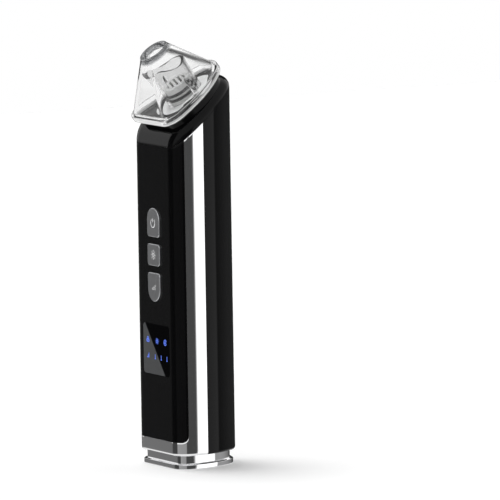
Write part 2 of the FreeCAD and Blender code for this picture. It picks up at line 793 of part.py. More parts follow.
def motor_bushes():
    spots = (motor_z0, motor_z1 - can_t - 0.5)
    return Part.makeCompound([pipe(bush_r, shaft_r + shaft_clear, z, z + bush_len, 0, motor_y) for z in spots])


def motor_magnets():
    outer = motor_r - can_t - magnet_gap
    low, high = armature_z
    ring = pipe(outer, outer - magnet_t, low - 0.5, high + 0.5, 0, motor_y)
    gap = 3.0
    ring = ring.cut(box(-gap, gap, motor_y - motor_r, motor_y + motor_r, low - 2, high + 2))
    return Part.makeCompound(ring.Solids)


def motor_brushes():
    reach = commutator_r + brush_gap
    low = motor_z0 + end_cap_t
    high = commutator_z[1] - 0.4
    return Part.makeCompound([box(min(s * reach, s * (reach + 2.5)), max(s * reach, s * (reach + 2.5)),
                                  motor_y - 1, motor_y + 1, low, high) for s in (-1, 1)])


def motor_armature():
    low, high = armature_z
    r = motor_r - can_t - magnet_gap - magnet_t - air_gap
    core = rod(r, low, high, 0, motor_y)
    for i in range(3):
        x, y = polar(r, 90 + 120 * i, 0, motor_y)
        slot = box(-0.8, 0.8, -r / 2, r, low - 1, high + 1)
        core = core.cut(placed(slot, x, y, 0, V(0, 0, 1), 120 * i))
    return core.cut(rod(shaft_r, low - 1, high + 1, 0, motor_y))


def commutator():
    return pipe(commutator_r, shaft_r, commutator_z[0], commutator_z[1], 0, motor_y)


def motor_shaft():
    return rod(shaft_r, motor_z0 + 0.4, pump_z + crank_z + crank_h, 0, motor_y)


# ---- pump ----
def pump_crank():
    z = pump_z + crank_z
    disc = rod(crank_r, z, z + crank_h, 0, motor_y).cut(rod(shaft_r, z - 1, z + crank_h, 0, motor_y))
    pin = rod(crank_pin_r, z + crank_h - 0.5, z + crank_h + crank_pin_h, 0, motor_y + crank_throw + shaft_r)
    return fuse(disc, pin)


def chamber_places():
    return [polar(chamber_ring_r, 90 + 360 / chambers * i, 0, motor_y) for i in range(chambers)]


def pump_screw_places():
    return [polar(pump_screw_ring_r, 45 + 90 * i, 0, motor_y) for i in range(4)]


def drilled(shape, z0, z1, gap=thread_gap):
    for x, y in pump_screw_places():
        shape = shape.cut(rod(pump_screw_r + gap, z0 - 1, z1 + 1, x, y))
    return shape


def pump_body():
    cup = rod(pump_r, pump_z, membrane_z, 0, motor_y)
    cup = cup.cut(rod(pump_bore_r, pump_z + pump_floor, membrane_z + 1, 0, motor_y))
    cup = cup.cut(rod(bush_r + 0.7, pump_z - 1, pump_z + pump_floor + 1, 0, motor_y))
    return drilled(cup, pump_z + pump_floor, membrane_z)


def swash_plate():
    z = pump_z + swash_z
    plate = pipe(swash_r, crank_throw + shaft_r + crank_pin_r + 0.3, z, z + swash_t, 0, motor_y)
    return fuse(plate, *[rod(1.2, z, membrane_z, x, y) for x, y in chamber_places()])


def diaphragm():
    sheet = rod(pump_r, membrane_z, valve_z, 0, motor_y)
    cups = [rod(chamber_r, membrane_z, valve_z + chamber_h, x, y) for x, y in chamber_places()]
    return drilled(fuse(sheet, *cups), membrane_z, valve_z)


def valve_plate():
    plate = rod(pump_r, valve_z, pump_cover_z, 0, motor_y)
    for x, y in chamber_places():
        plate = plate.cut(rod(chamber_r + fit_gap, valve_z - 1, valve_z + chamber_h + fit_gap, x, y))
        plate = plate.cut(rod(0.5, valve_z, pump_cover_z + 1, x, y))
    return drilled(plate, valve_z, pump_cover_z)


def pump_cover():
    lid = rod(pump_r, pump_cover_z, pump_top_z, 0, motor_y)
    lid = lid.cut(rod(pump_bore_r, pump_cover_z - 1, pump_top_z - wall, 0, motor_y))
    lid = fuse(lid, rod(spigot_r, pump_top_z - wall, pump_top_z + nipple_len, 0, nipple_y))
    lid = lid.cut(rod(spigot_bore_r, pump_cover_z, pump_top_z + nipple_len + 1, 0, nipple_y))
    return drilled(lid, pump_cover_z, pump_top_z)


def pump_screws():
    one = screw(pump_screw_r, pump_top_z - pump_z - pump_floor - 1, 1.1, 0.8)
    return Part.makeCompound([placed(one, x, y, pump_top_z) for x, y in pump_screw_places()])


def motor_damper():
    mid = (motor_z0 + motor_z1) / 2
    low, high = mid - damper_len / 2, mid + damper_len / 2
    return pipe(motor_r + thread_gap + damper_t, motor_r + thread_gap, low, high, 0, motor_y)


def suction_hose():
    """Hose from the pump's nipple, straight up, round one bend and square into the port."""
    port_y = front_y + port_w * math.cos(slope)
    port_z = seat_z + port_w * math.sin(slope)
    drop = (nipple_y - port_y) / math.sin(slope)
    corner_z = port_z - drop * math.cos(slope)
    up = V(0, -math.sin(slope), math.cos(slope))
    start = V(0, nipple_y, pump_top_z + 0.4)
    corner = V(0, nipple_y, corner_z)
    end = V(0, port_y, port_z) + up * hose_end_h
    run = drop + hose_bend_h
    hose_bend_r = run / math.tan(slope / 2)
    low = corner - V(0, 0, run)
    high = corner + up * run
    centre = low - V(0, hose_bend_r, 0)
    middle = centre + (corner - centre).normalize() * hose_bend_r
    path = Part.Wire([Part.makeLine(start, low), arc(low, middle, high), Part.makeLine(high, end)])
    tubes = []
    for r in (hose_r, hose_bore_r):
        ring = Part.Wire([Part.makeCircle(r, start, V(0, 0, 1))])
        tubes.append(path.makePipeShell([ring], True, False))
    return tubes[0].cut(tubes[1])


# ---- lights ----
def light_board():
    top = -deck_drop - deck_t - board_drop
    board = pipe(board_out_r, board_in_r, top - board_t, top, 0, port_w)
    leds = [box(x - led_half, x + led_half, w - led_half, w + led_half, top - board_t / 2, top + led_h)
            for x, w in pipe_places()]
    return tilt(fuse(board, *leds))


def light_pipes():
    low = -deck_drop - deck_t - board_drop + led_h + fit_gap
    return Part.makeCompound([tilt(rod(pipe_r, low, 0, x, w)) for x, w in pipe_places()])


nodes = {
    "front_cover": front_cover, "mid_frame": mid_frame, "back_shell": back_shell, "top_collar": top_collar,
    "foot": foot, "foot_pad": foot_pad, "usb_socket": usb_socket, "socket_board": socket_board,
    "base_screws": base_screw_set, "suction_hood": hood, "head_tube": head_tube, "head_clips": head_clips,
    "head_seal": head_seal, "suction_port": suction_port, "port_o_rings": port_o_rings,
    "port_gasket": port_gasket, "filter_cap": filter_cap, "filter_sponge": filter_sponge,
    "display_window": display_window, "display_module": display_module, "display_icons": display_icons,
    "tact_switches": tact_switches, "main_pcb": main_pcb, "chassis": chassis, "board_screws": board_screws,
    "casing_screws": casing_screws, "battery_cell": battery_cell, "battery_tabs": battery_tabs,
    "motor_can": motor_can, "motor_end_cap": motor_end_cap, "motor_bushes": motor_bushes,
    "motor_magnets": motor_magnets, "motor_brushes": motor_brushes, "motor_armature": motor_armature,
    "commutator": commutator, "motor_shaft": motor_shaft, "pump_crank": pump_crank, "pump_body": pump_body,
    "swash_plate": swash_plate, "diaphragm": diaphragm, "valve_plate": valve_plate,
    "pump_cover": pump_cover, "pump_screws": pump_screws, "motor_damper": motor_damper,
    "suction_hose": suction_hose, "light_board": light_board, "light_pipes": light_pipes,
}

os.makedirs("parts", exist_ok=True)
for node, make in nodes.items():
    make().exportStep("parts/" + node + ".step")
for name in buttons:
    button(name).exportStep("parts/" + name + "_button.step")
    switch_stem(name).exportStep("parts/" + name + "_stem.step")
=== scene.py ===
import json
import math

import bmesh
import bpy
import numpy as np
from mathutils import Matrix, Vector


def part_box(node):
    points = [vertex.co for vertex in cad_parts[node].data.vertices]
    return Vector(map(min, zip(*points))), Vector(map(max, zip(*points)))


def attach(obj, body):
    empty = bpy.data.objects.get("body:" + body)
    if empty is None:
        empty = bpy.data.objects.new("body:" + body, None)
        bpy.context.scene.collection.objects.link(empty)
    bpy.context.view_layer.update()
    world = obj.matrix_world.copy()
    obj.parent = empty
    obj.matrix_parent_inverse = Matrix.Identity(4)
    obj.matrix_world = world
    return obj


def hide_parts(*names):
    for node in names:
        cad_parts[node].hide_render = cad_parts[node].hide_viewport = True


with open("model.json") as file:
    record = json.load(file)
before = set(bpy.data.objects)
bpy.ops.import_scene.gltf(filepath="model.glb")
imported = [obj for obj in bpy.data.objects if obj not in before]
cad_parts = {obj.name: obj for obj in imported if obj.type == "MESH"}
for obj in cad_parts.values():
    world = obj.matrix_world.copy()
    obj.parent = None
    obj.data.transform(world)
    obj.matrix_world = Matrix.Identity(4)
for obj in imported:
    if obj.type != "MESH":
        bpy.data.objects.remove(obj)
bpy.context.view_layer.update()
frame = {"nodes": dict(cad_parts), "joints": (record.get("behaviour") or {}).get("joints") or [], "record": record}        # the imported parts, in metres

mm = 0.001
record = frame["record"]
scene = bpy.context.scene

# where the sloping head sits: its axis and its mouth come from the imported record
headAxis = np.array(next(j["axis"] for j in frame["joints"] if j["name"] == "head_pull"), float)
mouth = next(m for m in record["mounts"] if m["name"] == "suction_tip")
head = {
    "mouthHeight": 23.9,     # middle of the mouth's bore above the seat plane
    "overhang": 0.3,         # flange past the casing's sides
    "front": -1.6,           # flange's front edge from the casing's, along the slope
    "backGap": 5.85,         # flange short of the deck's rear edge
    "corner": 8.4,           # plan radius of the flange's front corners
    "backDrop": 4.5,         # half width less the back's radius
    "flankRun": 13.6,        # length of the flank arc, between side and back
}
slopeUp = np.array([0.0, headAxis[2], -headAxis[1]])
portBase = np.array(mouth["pos_m"]) / mm - headAxis * head["mouthHeight"]
slope = math.atan2(-headAxis[1], headAxis[2])

casing = {
    "corner": 6.2,           # plan radius of the front corners
    "backDrop": 5.0,         # half width less the back's radius
    "flankRun": 14.0,        # length of the flank arc
    "rimRound": 1.2,         # bottom edge
    "rimLead": 0.8,          # flat part of the underside before that round
    "floorReach": 3.6,       # how far the underside runs in, over the neck
    "deckDrop": 3.0,         # deck below the seat plane
    "deckThick": 2.0,
    "collarDrop": 8.2,       # collar's lower edge below the seat plane
    "collarSkirt": 2.0,      # plain height inside that edge
    "collarHole": 7.6,       # edge of the collar's hole, in from the flange's outline
    "sideRound": 4.2,        # deck's edge at the sides and back
    "frontRound": 13.0,      # deck's edge at the front
    "seam": 0.2,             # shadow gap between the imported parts
    "shownSeam": 0.12,       # gap between the pieces made here
    "wall": 1.1,
    "edge": 0.05,            # broken edge of each moulding
    "coverCornerR": 3.0,     # front cover's bottom corners
    "cornerCrowd": 0.8,      # how closely columns crowd at the end of those corners
}
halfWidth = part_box("mid_frame")[1].x / mm
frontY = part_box("front_cover")[0].y / mm
backY = -frontY
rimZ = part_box("mid_frame")[0].z / mm
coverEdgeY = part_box("front_cover")[1].y / mm + casing["seam"] / 2
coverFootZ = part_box("front_cover")[0].z / mm - casing["seam"] / 2
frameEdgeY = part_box("mid_frame")[1].y / mm + casing["seam"] / 2
seatFrontZ = portBase[2] - (portBase[1] - frontY) * math.tan(slope)
deckLength = (backY - frontY) / math.cos(slope)
portW = (portBase[1] - frontY) / math.cos(slope)


# A D outline is a moving centre plus a radius along a turning normal, so an inset only shortens the
# radius: flat front, corner arc, side, flank arc and back arc, for u from 0 (front) to 5 (back).
def dPlan(half, front, back, corner, backDrop, flankRun):
    backR = half - backDrop
    sideEnd = back - backR - flankRun
    tight = half - backR
    flankR = half + (flankRun ** 2 - tight ** 2) / (2 * tight)
    turn = math.atan2(flankRun, flankR - half)
    square = math.pi / 2
    return {
        "u": [0, 1, 2, 3 - 1e-9, 3, 4 - 1e-9, 4, 5],
        "x": [0, half - corner, half - corner, half - corner, half - flankR, half - flankR, 0, 0],
        "y": [front + corner] * 3 + [sideEnd] * 3 + [back - backR] * 2,
        "r": [corner] * 4 + [flankR] * 2 + [backR] * 2,
        "a": [-square, -square, 0, 0, 0, turn, turn, square],
        "corner": corner, "front": front, "sideEnd": sideEnd, "flankR": flankR, "turn": turn,
    }


# point = centre + (radius - inset) * normal; a negative u mirrors it to the left side
def planAt(plan, u, inset=0.0):
    side = np.where(u < 0, -1.0, 1.0)
    cx, cy, r, a = (np.interp(np.abs(u), plan["u"], plan[k]) for k in ("x", "y", "r", "a"))
    return (side * (cx + (r - inset) * np.cos(a)), cy + (r - inset) * np.sin(a),
            side * np.cos(a), np.sin(a))


# u of the outline point at depth y, on the corner arc or on the flank arc
def uAtY(plan, y):
    cornerY = plan["front"] + plan["corner"]
    if y < cornerY:
        return 2 + math.asin((y - cornerY) / plan["corner"]) / (math.pi / 2)
    if y < plan["sideEnd"]:
        return 2 + (y - cornerY) / (plan["sideEnd"] - cornerY)
    return 3 + math.asin((y - plan["sideEnd"]) / plan["flankR"]) / plan["turn"]


# evenly spaced values from stop to stop, given as start, count, next start, count, ..., end
def spread(*stops):
    runs = [np.linspace(stops[i], stops[i + 2], stops[i + 1], endpoint=False)
            for i in range(0, len(stops) - 1, 2)]
    return np.concatenate(runs + [np.array([float(stops[-1])])])


# angles from 0 to 90 degrees
def quarter(count=5):
    return np.linspace(0, math.pi / 2, count)


body = dPlan(halfWidth, frontY, backY, casing["corner"], casing["backDrop"], casing["flankRun"])
flange = dPlan(halfWidth + head["overhang"], head["front"], deckLength - head["backGap"],
               head["corner"], head["backDrop"], head["flankRun"])
halfLoop = spread(0, 12, 1, 14, 2, 2, 3, 16, 4, 14, 5)
loop = np.concatenate([halfLoop[:-1], -halfLoop[:0:-1]])    # once round, front to back to front


# slope coordinates to the part's own: origin + x * right + w * up the slope + h * the head's axis
def onSlope(x, w, h):
    x, w, h = np.broadcast_arrays(x, w, h)
    origin = portBase - slopeUp * portW
    return origin + x[..., None] * np.array([1.0, 0, 0]) + w[..., None] * slopeUp + h[..., None] * headAxis


# The casing's skin goes up the wall, round an arc and on over the sloping deck. s is the distance along
# that path, and equals z on the wall. The arc turns by 90 degrees plus the deck's rise in the direction
# of the wall's normal, and its radius grows with the square of how far the wall faces front.
def skinShape(u, inset):
    x, y, nx, ny = planAt(body, u, inset)
    rise = np.arctan(ny * math.tan(slope))
    facing = np.clip(-ny, 0, 1) ** 2
    radius = casing["sideRound"] + (casing["frontRound"] - casing["sideRound"]) * facing - inset
    drop = (casing["deckDrop"] + inset) / math.cos(slope)
    edgeZ = seatFrontZ + (y - frontY) * math.tan(slope) - drop
    start = edgeZ - radius * np.tan(math.pi / 4 + rise / 2)
    return x, y, nx, ny, rise, radius, start


# point of the skin: wall point, less the normal times radius * (1 - cos turn), then straight on inwards
def skinAt(u, s, inset=0.0):
    x, y, nx, ny, rise, radius, start = skinShape(u, inset)
    turn = np.clip((s - start) / radius, 0, math.pi / 2 + rise)
    over = np.maximum(s - start - radius * (math.pi / 2 + rise), 0)
    inward = radius * (1 - np.cos(turn)) + over * np.cos(rise)
    z = np.minimum(s, start) + radius * np.sin(turn) - over * np.sin(rise)
    return np.stack([x - nx * inward, y - ny * inward, z], axis=-1)


# distance along the skin at which it crosses the plane h over the seat, found by halving the span
def skinCross(u, h, inset=0.0):
    rise, radius, start = skinShape(u, inset)[4:]
    low, high = start - 40, start + radius * (math.pi / 2 + rise)
    for _ in range(40):
        middle = (low + high) / 2
        p = skinAt(u, middle, inset)
        over = (p[..., 2] - seatFrontZ) * math.cos(slope) - (p[..., 1] - frontY) * math.sin(slope) > h
        low, high = np.where(over, low, middle), np.where(over, middle, high)
    return (low + high) / 2


# rows under the wall: out from the neck, then a quarter circle round the bottom edge
def rimRows(u):
    r = casing["rimRound"]
    turns = quarter(7)
    insets = [casing["floorReach"], r + casing["rimLead"]] + [r * (1 - math.sin(a)) for a in turns]
    heights = [0, 0] + [r * (1 - math.cos(a)) for a in turns]
    rows = []
    for inset, height in zip(insets, heights):
        x, y = planAt(body, u, inset)[:2]
        rows.append(np.stack([x, y, np.full_like(x, rimZ + height)], axis=-1))
    return np.stack(rows)


# quads of a grid of rows by columns, where a wrapped direction also joins its last line to its first
def gridFaces(rows, cols, wrapRows=False, wrapCols=False, first=0):
    i, j = np.meshgrid(np.arange(rows if wrapRows else rows - 1),
                       np.arange(cols if wrapCols else cols - 1), indexing="ij")
    k, l = (i + 1) % rows, (j + 1) % cols
    return first + np.stack([i * cols + j, i * cols + l, k * cols + l, k * cols + j], axis=-1).reshape(-1, 4)


# points in millimetres become a smooth-shaded object at the origin
def newPiece(name, points, faces):
    mesh = bpy.data.meshes.new(name)
    places = (np.asarray(points).reshape(-1, 3) * mm).tolist()
    mesh.from_pydata(places, [], [list(map(int, f)) for f in faces])
    mesh.shade_smooth()
    piece = bpy.data.objects.new(name, mesh)
    scene.collection.objects.link(piece)
    return piece


finish = {"merge": 0.002, "sliver": 0.0005, "bevelFrom": 50, "sharpFrom": 35, "normalWeight": 60}


# merge doubles, drop slivers and turn every face outwards
def tidyMesh(piece, outwards=True):
    bm = bmesh.new()
    bm.from_mesh(piece.data)
    bmesh.ops.remove_doubles(bm, verts=bm.verts, dist=finish["merge"] * mm)
    bmesh.ops.dissolve_degenerate(bm, edges=bm.edges, dist=finish["sliver"] * mm)
    if outwards:
        bmesh.ops.recalc_face_normals(bm, faces=bm.faces)
    bm.to_mesh(piece.data)
    bm.free()


# one modifier with its settings
def addModifier(piece, kind, **settings):
    modifier = piece.modifiers.new(kind.lower(), kind)
    for key, value in settings.items():
        setattr(modifier, key, value)


# the mesh as the modifiers leave it takes the old one's place
def applyModifiers(piece):
    graph = bpy.context.evaluated_depsgraph_get()
    mesh = bpy.data.meshes.new_from_object(piece.evaluated_get(graph), preserve_all_data_layers=True,
                                           depsgraph=graph)
    piece.modifiers.clear()
    piece.data = mesh


# a narrow bevel along every edge that turns sharply
def breakEdges(piece, width):
    addModifier(piece, "BEVEL", width=width * mm, segments=2, limit_method="ANGLE",
                angle_limit=math.radians(finish["bevelFrom"]), use_clamp_overlap=True)


# edges, shading and material, and then the body it moves with and the imported nodes it stands for
def finishPiece(piece, material, bodyName, nodes, edge=0.0):
    if edge:
        breakEdges(piece, edge)
    applyModifiers(piece)
    piece.data.set_sharp_from_angle(angle=math.radians(finish["sharpFrom"]))
    addModifier(piece, "WEIGHTED_NORMAL", weight=finish["normalWeight"], keep_sharp=True)
    applyModifiers(piece)
    piece.data.materials.clear()
    piece.data.materials.append(material)
    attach(piece, bodyName)
    if nodes:
        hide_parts(*nodes)
    return piece


# an open skin, turned outwards, that gets its wall on the inside
def shellPiece(name, grids, thick):
    points, faces, first = [], [], 0
    for grid in grids:
        rows, cols = grid.shape[:2]
        quads = gridFaces(rows, cols, first=first)
        a, b, c = (grid.reshape(-1, 3)[quads[:, k] - first] for k in (0, 1, 2))
        out = np.cross(b - a, c - a)
        outwards = (out[:, :2] * a[:, :2]).sum() > 0
        faces.append(quads if outwards else quads[:, ::-1])
        points.append(grid.reshape(-1, 3))
        first += rows * cols
    piece = newPiece(name, np.concatenate(points), np.concatenate(faces))
    tidyMesh(piece, outwards=False)
    addModifier(piece, "SOLIDIFY", thickness=thick * mm, offset=-1, use_even_offset=True)
    return piece


# closed ring: a profile carried once round an outline, one row per profile point, joined both ways
def ringPiece(name, rows):
    grid = np.stack(rows)
    piece = newPiece(name, grid, gridFaces(grid.shape[0], grid.shape[1], True, True))
    tidyMesh(piece)
    return piece


# sRGB hex value to linear light
def linear(hexText, alpha=1.0):
    values = [int(hexText[i:i + 2], 16) / 255 for i in (1, 3, 5)]
    return [v / 12.92 if v <= 0.04045 else ((v + 0.055) / 1.055) ** 2.4 for v in values] + [alpha]


# one node with its settings, its fixed input values and what is linked into it
def addNode(tree, kind, values=None, links=None, **settings):
    node = tree.nodes.new(kind)
    for key, value in settings.items():
        setattr(node, key, value)
    for key, value in (values or {}).items():
        node.inputs[key].default_value = value
    for key, source in (links or {}).items():
        tree.links.new(source, node.inputs[key])
    return node


# A shader with fixed values. A noise whose grain is a real size in millimetres varies its roughness by
# the sway, mixes in the tint, and raises a bump of the given height, also in millimetres.
def surface(name, colour, rough, grain, bump=0.0, sway=0.03, tint=None, **fixed):
    material = bpy.data.materials.new(name)
    material.use_nodes = True
    tree = material.node_tree
    shader = tree.nodes["Principled BSDF"]
    for key, value in fixed.items():
        shader.inputs[key.replace("_", " ")].default_value = value
    place = addNode(tree, "ShaderNodeTexCoord").outputs["Object"]
    noise = addNode(tree, "ShaderNodeTexNoise", {"Scale": 1 / (grain * mm), "Detail": 3.0}, {"Vector": place})
    vary = addNode(tree, "ShaderNodeMapRange", {"To Min": rough - sway, "To Max": rough + sway},
                   {"Value": noise.outputs["Fac"]})
    tree.links.new(vary.outputs["Result"], shader.inputs["Roughness"])
    if tint:
        ramp = addNode(tree, "ShaderNodeValToRGB", links={"Fac": noise.outputs["Fac"]})
        for stop, position, shade in zip(ramp.color_ramp.elements, (0.35, 0.65), (colour, tint)):
            stop.position, stop.color = position, linear(shade)
        tree.links.new(ramp.outputs["Color"], shader.inputs["Base Color"])
    else:
        shader.inputs["Base Color"].default_value = linear(colour)
    if bump:
        rise = addNode(tree, "ShaderNodeBump", {"Strength": 1.0, "Distance": bump * mm},
                       {"Height": noise.outputs["Fac"]})
        tree.links.new(rise.outputs["Normal"], shader.inputs["Normal"])
    return material


print("materials")
# piano-black ABS, moulded in a polished tool: near-black with sharp, dim reflections
pianoBlackAbs = surface("piano black ABS", "#09090a", 0.05, 9.0, sway=0.015, Specular_IOR_Level=0.105)
# chromium plate over moulded ABS: a mirror, hardly softened
chromePlate = surface("chrome plate on ABS", "#f0f0f1", 0.045, 14.0, sway=0.015, Metallic=1.0)
# satin chromium on the keys: a fine blasted grain that greys the reflection
satinChrome = surface("satin chrome", "#c6c7c9", 0.30, 0.25, bump=0.002, sway=0.05, Metallic=1.0)
# pad-printed white ink on the keys: flat and even
brightLine = surface("white printed ink", "#fcfcfc", 0.35, 1.0)
# injection-moulded clear polycarbonate: colourless, dark only where its edges bend the light
clearPolycarbonate = surface("clear polycarbonate", "#ffffff", 0.02, 6.0, sway=0.008,
                             Transmission_Weight=1.0, IOR=1.5)
# moulded ABS in white and in black: half-matt skin, the black one with a spark-eroded grain
whiteAbs = surface("white ABS", "#e4e5e4", 0.32, 1.2, sway=0.05, tint="#dcdddc")
blackAbs = surface("black ABS, spark-eroded", "#141415", 0.55, 0.3, bump=0.01, tint="#1b1b1c")
# rubbers: moulded black, dull with a fine pitting, and extruded silicone, milky and smooth
blackRubber = surface("moulded black rubber", "#111112", 0.6, 0.5, bump=0.02, tint="#1a1a1b")
silicone = surface("milky silicone", "#cfd0cc", 0.4, 2.0, tint="#dadbd6")
# green lacquer over woven glass-epoxy: smooth, a little uneven in depth
greenBoard = surface("solder mask on glass-epoxy", "#0c4a25", 0.35, 0.9, tint="#0e5a2d")
# metals: turned steel with fine tool marks, and pressed bronze with open, oily pores
turnedSteel = surface("turned steel", "#8d8f92", 0.3, 0.4, bump=0.004, Metallic=1.0, tint="#a2a4a7")
oiledBronze = surface("sintered bronze", "#9a6b3a", 0.42, 0.35, bump=0.01, Metallic=1.0, tint="#b5854e")
# pressed ferrite: dark grey, dull and slightly rough
ferrite = surface("pressed ferrite", "#26262a", 0.6, 0.4, bump=0.02, tint="#333338")
# cut polyurethane foam: pale, matt, with open cells
foam = surface("open-cell foam", "#dcdad2", 0.9, 0.4, bump=0.15, tint="#c4c2ba")
# shrunk plastic sleeve on the cell: glossy and slightly wavy
cellWrap = surface("shrink wrap", "#2a5f96", 0.3, 3.0, tint="#2d679f")

moulding = {
    "paleTop": 1.0, "soft": 0.15,            # white, less clear foot of the flange, and its fading edge
    "frontFrom": -1.42, "frontTo": -1.25,     # white, less clear front face, along the slope
    "lipFrom": 22.8, "lipTo": 23.6,           # grey lip, over the seat plane
    "paleClear": 0.2, "lipClear": 0.55,         # how clear the white parts and the lip stay
    "lipTone": "#86888a",
}


# The hood's polycarbonate. Its flange is made white and less clear up to a line, and so is its front face,
# which reads as a white stripe, and the skin-side lip is made grey and less clear. Height over the seat plane
# and distance up the slope place them, and the least clear one counts.
def hoodPolycarbonate():
    m = moulding
    material = surface("moulded polycarbonate hood", "#ffffff", 0.02, 6.0, sway=0.008, IOR=1.5)
    tree = material.node_tree
    shader = tree.nodes["Principled BSDF"]
    place = addNode(tree, "ShaderNodeTexCoord").outputs["Object"]
    seat, rim = float(portBase @ headAxis), float(portBase @ slopeUp) - portW

    def between(way, start, end, low, high):
        along = addNode(tree, "ShaderNodeVectorMath", {1: way.tolist()}, {0: place}, operation="DOT_PRODUCT")
        return addNode(tree, "ShaderNodeMapRange",
                       {"From Min": start * mm, "From Max": end * mm, "To Min": low, "To Max": high},
                       {"Value": along.outputs["Value"]}).outputs["Result"]

    stripe = between(headAxis, seat + m["paleTop"] - m["soft"], seat + m["paleTop"], m["paleClear"], 1.0)
    front = between(slopeUp, rim + m["frontFrom"], rim + m["frontTo"], m["paleClear"], 1.0)
    lip = between(headAxis, seat + m["lipFrom"], seat + m["lipTo"], 1.0, m["lipClear"])
    clear = lip
    for other in (stripe, front):
        least = addNode(tree, "ShaderNodeMath", links={0: other, 1: clear}, operation="MINIMUM")
        clear = least.outputs["Value"]
    tree.links.new(clear, shader.inputs["Transmission Weight"])
    tone = addNode(tree, "ShaderNodeValToRGB", links={"Fac": lip})
    ends = ((m["lipClear"], m["lipTone"]), (1.0, "#ffffff"))
    for stop, (position, shade) in zip(tone.color_ramp.elements, ends):
        stop.position, stop.color = position, linear(shade)
    tree.links.new(tone.outputs["Color"], shader.inputs["Base Color"])
    return material


# painted glare on the pane: a paler patch standing in for a reflection, not a film
paintedGlare = {
    "lean": 0.75,                                            # how far the painted glare's edge leans across as it rises
    "stops": ((0.1, "#555657"), (0.81, "#545556"), (0.84, "#020203")),
}


# Smoked acrylic over the screen: black glass, with a painted glare, a paler patch in its lower left half that
# stands in for a reflection. The patch ends where across + lean * up, each from 0 to 1 over the pane, passes
# its last stops.
def smokedAcrylicWithPaintedGlare():
    material = surface("smoked acrylic with painted glare", "#060607", 0.04, 8.0, sway=0.01, Specular_IOR_Level=0.02)
    tree = material.node_tree
    low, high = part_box("display_window")
    place = addNode(tree, "ShaderNodeTexCoord").outputs["Object"]
    split = addNode(tree, "ShaderNodeSeparateXYZ", links={"Vector": place})
    across = addNode(tree, "ShaderNodeMapRange", {"From Min": low.x, "From Max": high.x},
                     {"Value": split.outputs["X"]})
    up = addNode(tree, "ShaderNodeMapRange", {"From Min": low.z, "From Max": high.z},
                 {"Value": split.outputs["Z"]})
    slant = addNode(tree, "ShaderNodeMath", {1: paintedGlare["lean"]},
                    {0: up.outputs["Result"], 2: across.outputs["Result"]}, operation="MULTIPLY_ADD")
    glareShades = addNode(tree, "ShaderNodeValToRGB", links={"Fac": slant.outputs["Value"]})
    stops = glareShades.color_ramp.elements
    for stop, (position, shade) in zip(stops, (paintedGlare["stops"][0], paintedGlare["stops"][-1])):
        stop.position, stop.color = position, linear(shade)
    position, shade = paintedGlare["stops"][1]
    stops.new(position).color = linear(shade)
    tree.links.new(glareShades.outputs["Color"], tree.nodes["Principled BSDF"].inputs["Base Color"])
    return material


# blue segments behind the pane: they glow evenly
screenLight = surface("lit segment", "#20305c", 0.4, 2.0, Emission_Color=linear("#5f82ff"),
                      Emission_Strength=1.0)
screenGlass = smokedAcrylicWithPaintedGlare()
hoodPlastic = hoodPolycarbonate()
# the inner tube's clear polycarbonate is tinted slightly grey as painted shade, so that it and the lines its
# edges draw read grey
tubePlastic = surface("polycarbonate tube greyed as painted shade", "#e9e9e9", 0.03, 6.0, sway=0.01,
                      Transmission_Weight=1.0, IOR=1.5)
# bright white ABS that throws the light pipes' light forward
reflectorWhite = surface("white reflector ABS", "#f2f3f3", 0.25, 1.5, sway=0.05, tint="#e9eaea")

slotMaterials = {
    "gloss_black": pianoBlackAbs, "chrome_trim": chromePlate, "button_silver": satinChrome,
    "display_glass": screenGlass, "display_light": screenLight, "clear_plastic": clearPolycarbonate,
    "white_plastic": whiteAbs, "black_plastic": blackAbs, "soft_rubber": blackRubber,
    "silicone_hose": silicone, "circuit_board": greenBoard, "steel": turnedSteel,
    "sintered_bronze": oiledBronze, "ferrite": ferrite, "filter_foam": foam, "battery_wrap": cellWrap,
}
for part in record["subparts"]:
    node = frame["nodes"][part["node"]]
    node.data.materials.clear()
    node.data.materials.append(slotMaterials[part["material_slot"]])


# The seam between cover and frame, from one side edge down round the cover's two bottom corners to the
# other: u of its columns, crowded at the corners' ends, and its height, a quarter circle at each corner.
def coverSeam(edgeY, low, r):
    bend = edgeY - r
    uEdge, uBend = uAtY(body, edgeY), uAtY(body, bend)
    tail = uBend + (uEdge - uBend) * np.sin(quarter(12)) ** casing["cornerCrowd"]
    right = np.concatenate([spread(0, 12, 1, 12, uBend)[:-1], tail])
    u = np.concatenate([-right[:0:-1], right])
    past = np.clip(planAt(body, u)[1] - bend, 0, r)
    return uEdge, u, low + r - np.sqrt(np.maximum(r * r - past * past, 0))


# the front cover: skin between its rounded lower edge and the collar's seam
def makeFrontCover():
    gap = casing["shownSeam"] / 2
    u, bottom = coverSeam(coverEdgeY - gap, coverFootZ + gap, casing["coverCornerR"])[1:]
    top = skinCross(u, -casing["collarDrop"] - gap)
    rows = spread(0, 4, 0.02, 22, 0.98, 4, 1)
    return shellPiece("frontCover", [skinAt(u, bottom + (top - bottom) * rows[:, None])], casing["wall"])


# the bright frame: a band under the cover and a strip up each side, sharing their edges' points
def makeMidFrame():
    gap = casing["shownSeam"] / 2
    low, r = coverFootZ - gap, casing["coverCornerR"] + 2 * gap
    uEdge, u, top = coverSeam(coverEdgeY + gap, low, r)
    foot = rimZ + casing["rimRound"]
    rows = spread(0, 8, 1)[1:]
    grids = [np.concatenate([rimRows(u), skinAt(u, foot + (top - foot) * rows[:, None])])]
    uBack = uAtY(body, frameEdgeY - gap)
    for side in (-1, 1):
        v = side * spread(uEdge, 6, 2.0, 2, 3.0, 18, uBack)
        lowRows = np.broadcast_to(foot + (low + r - foot) * rows[:, None], (len(rows), len(v)))
        crest = skinCross(v, -casing["collarDrop"] - gap)
        highRows = low + r + (crest - low - r) * spread(0, 24, 0.99, 2, 1)[1:, None]
        grids.append(np.concatenate([rimRows(v), skinAt(v, np.concatenate([lowRows, highRows]))]))
    return shellPiece("midFrame", grids, casing["wall"])


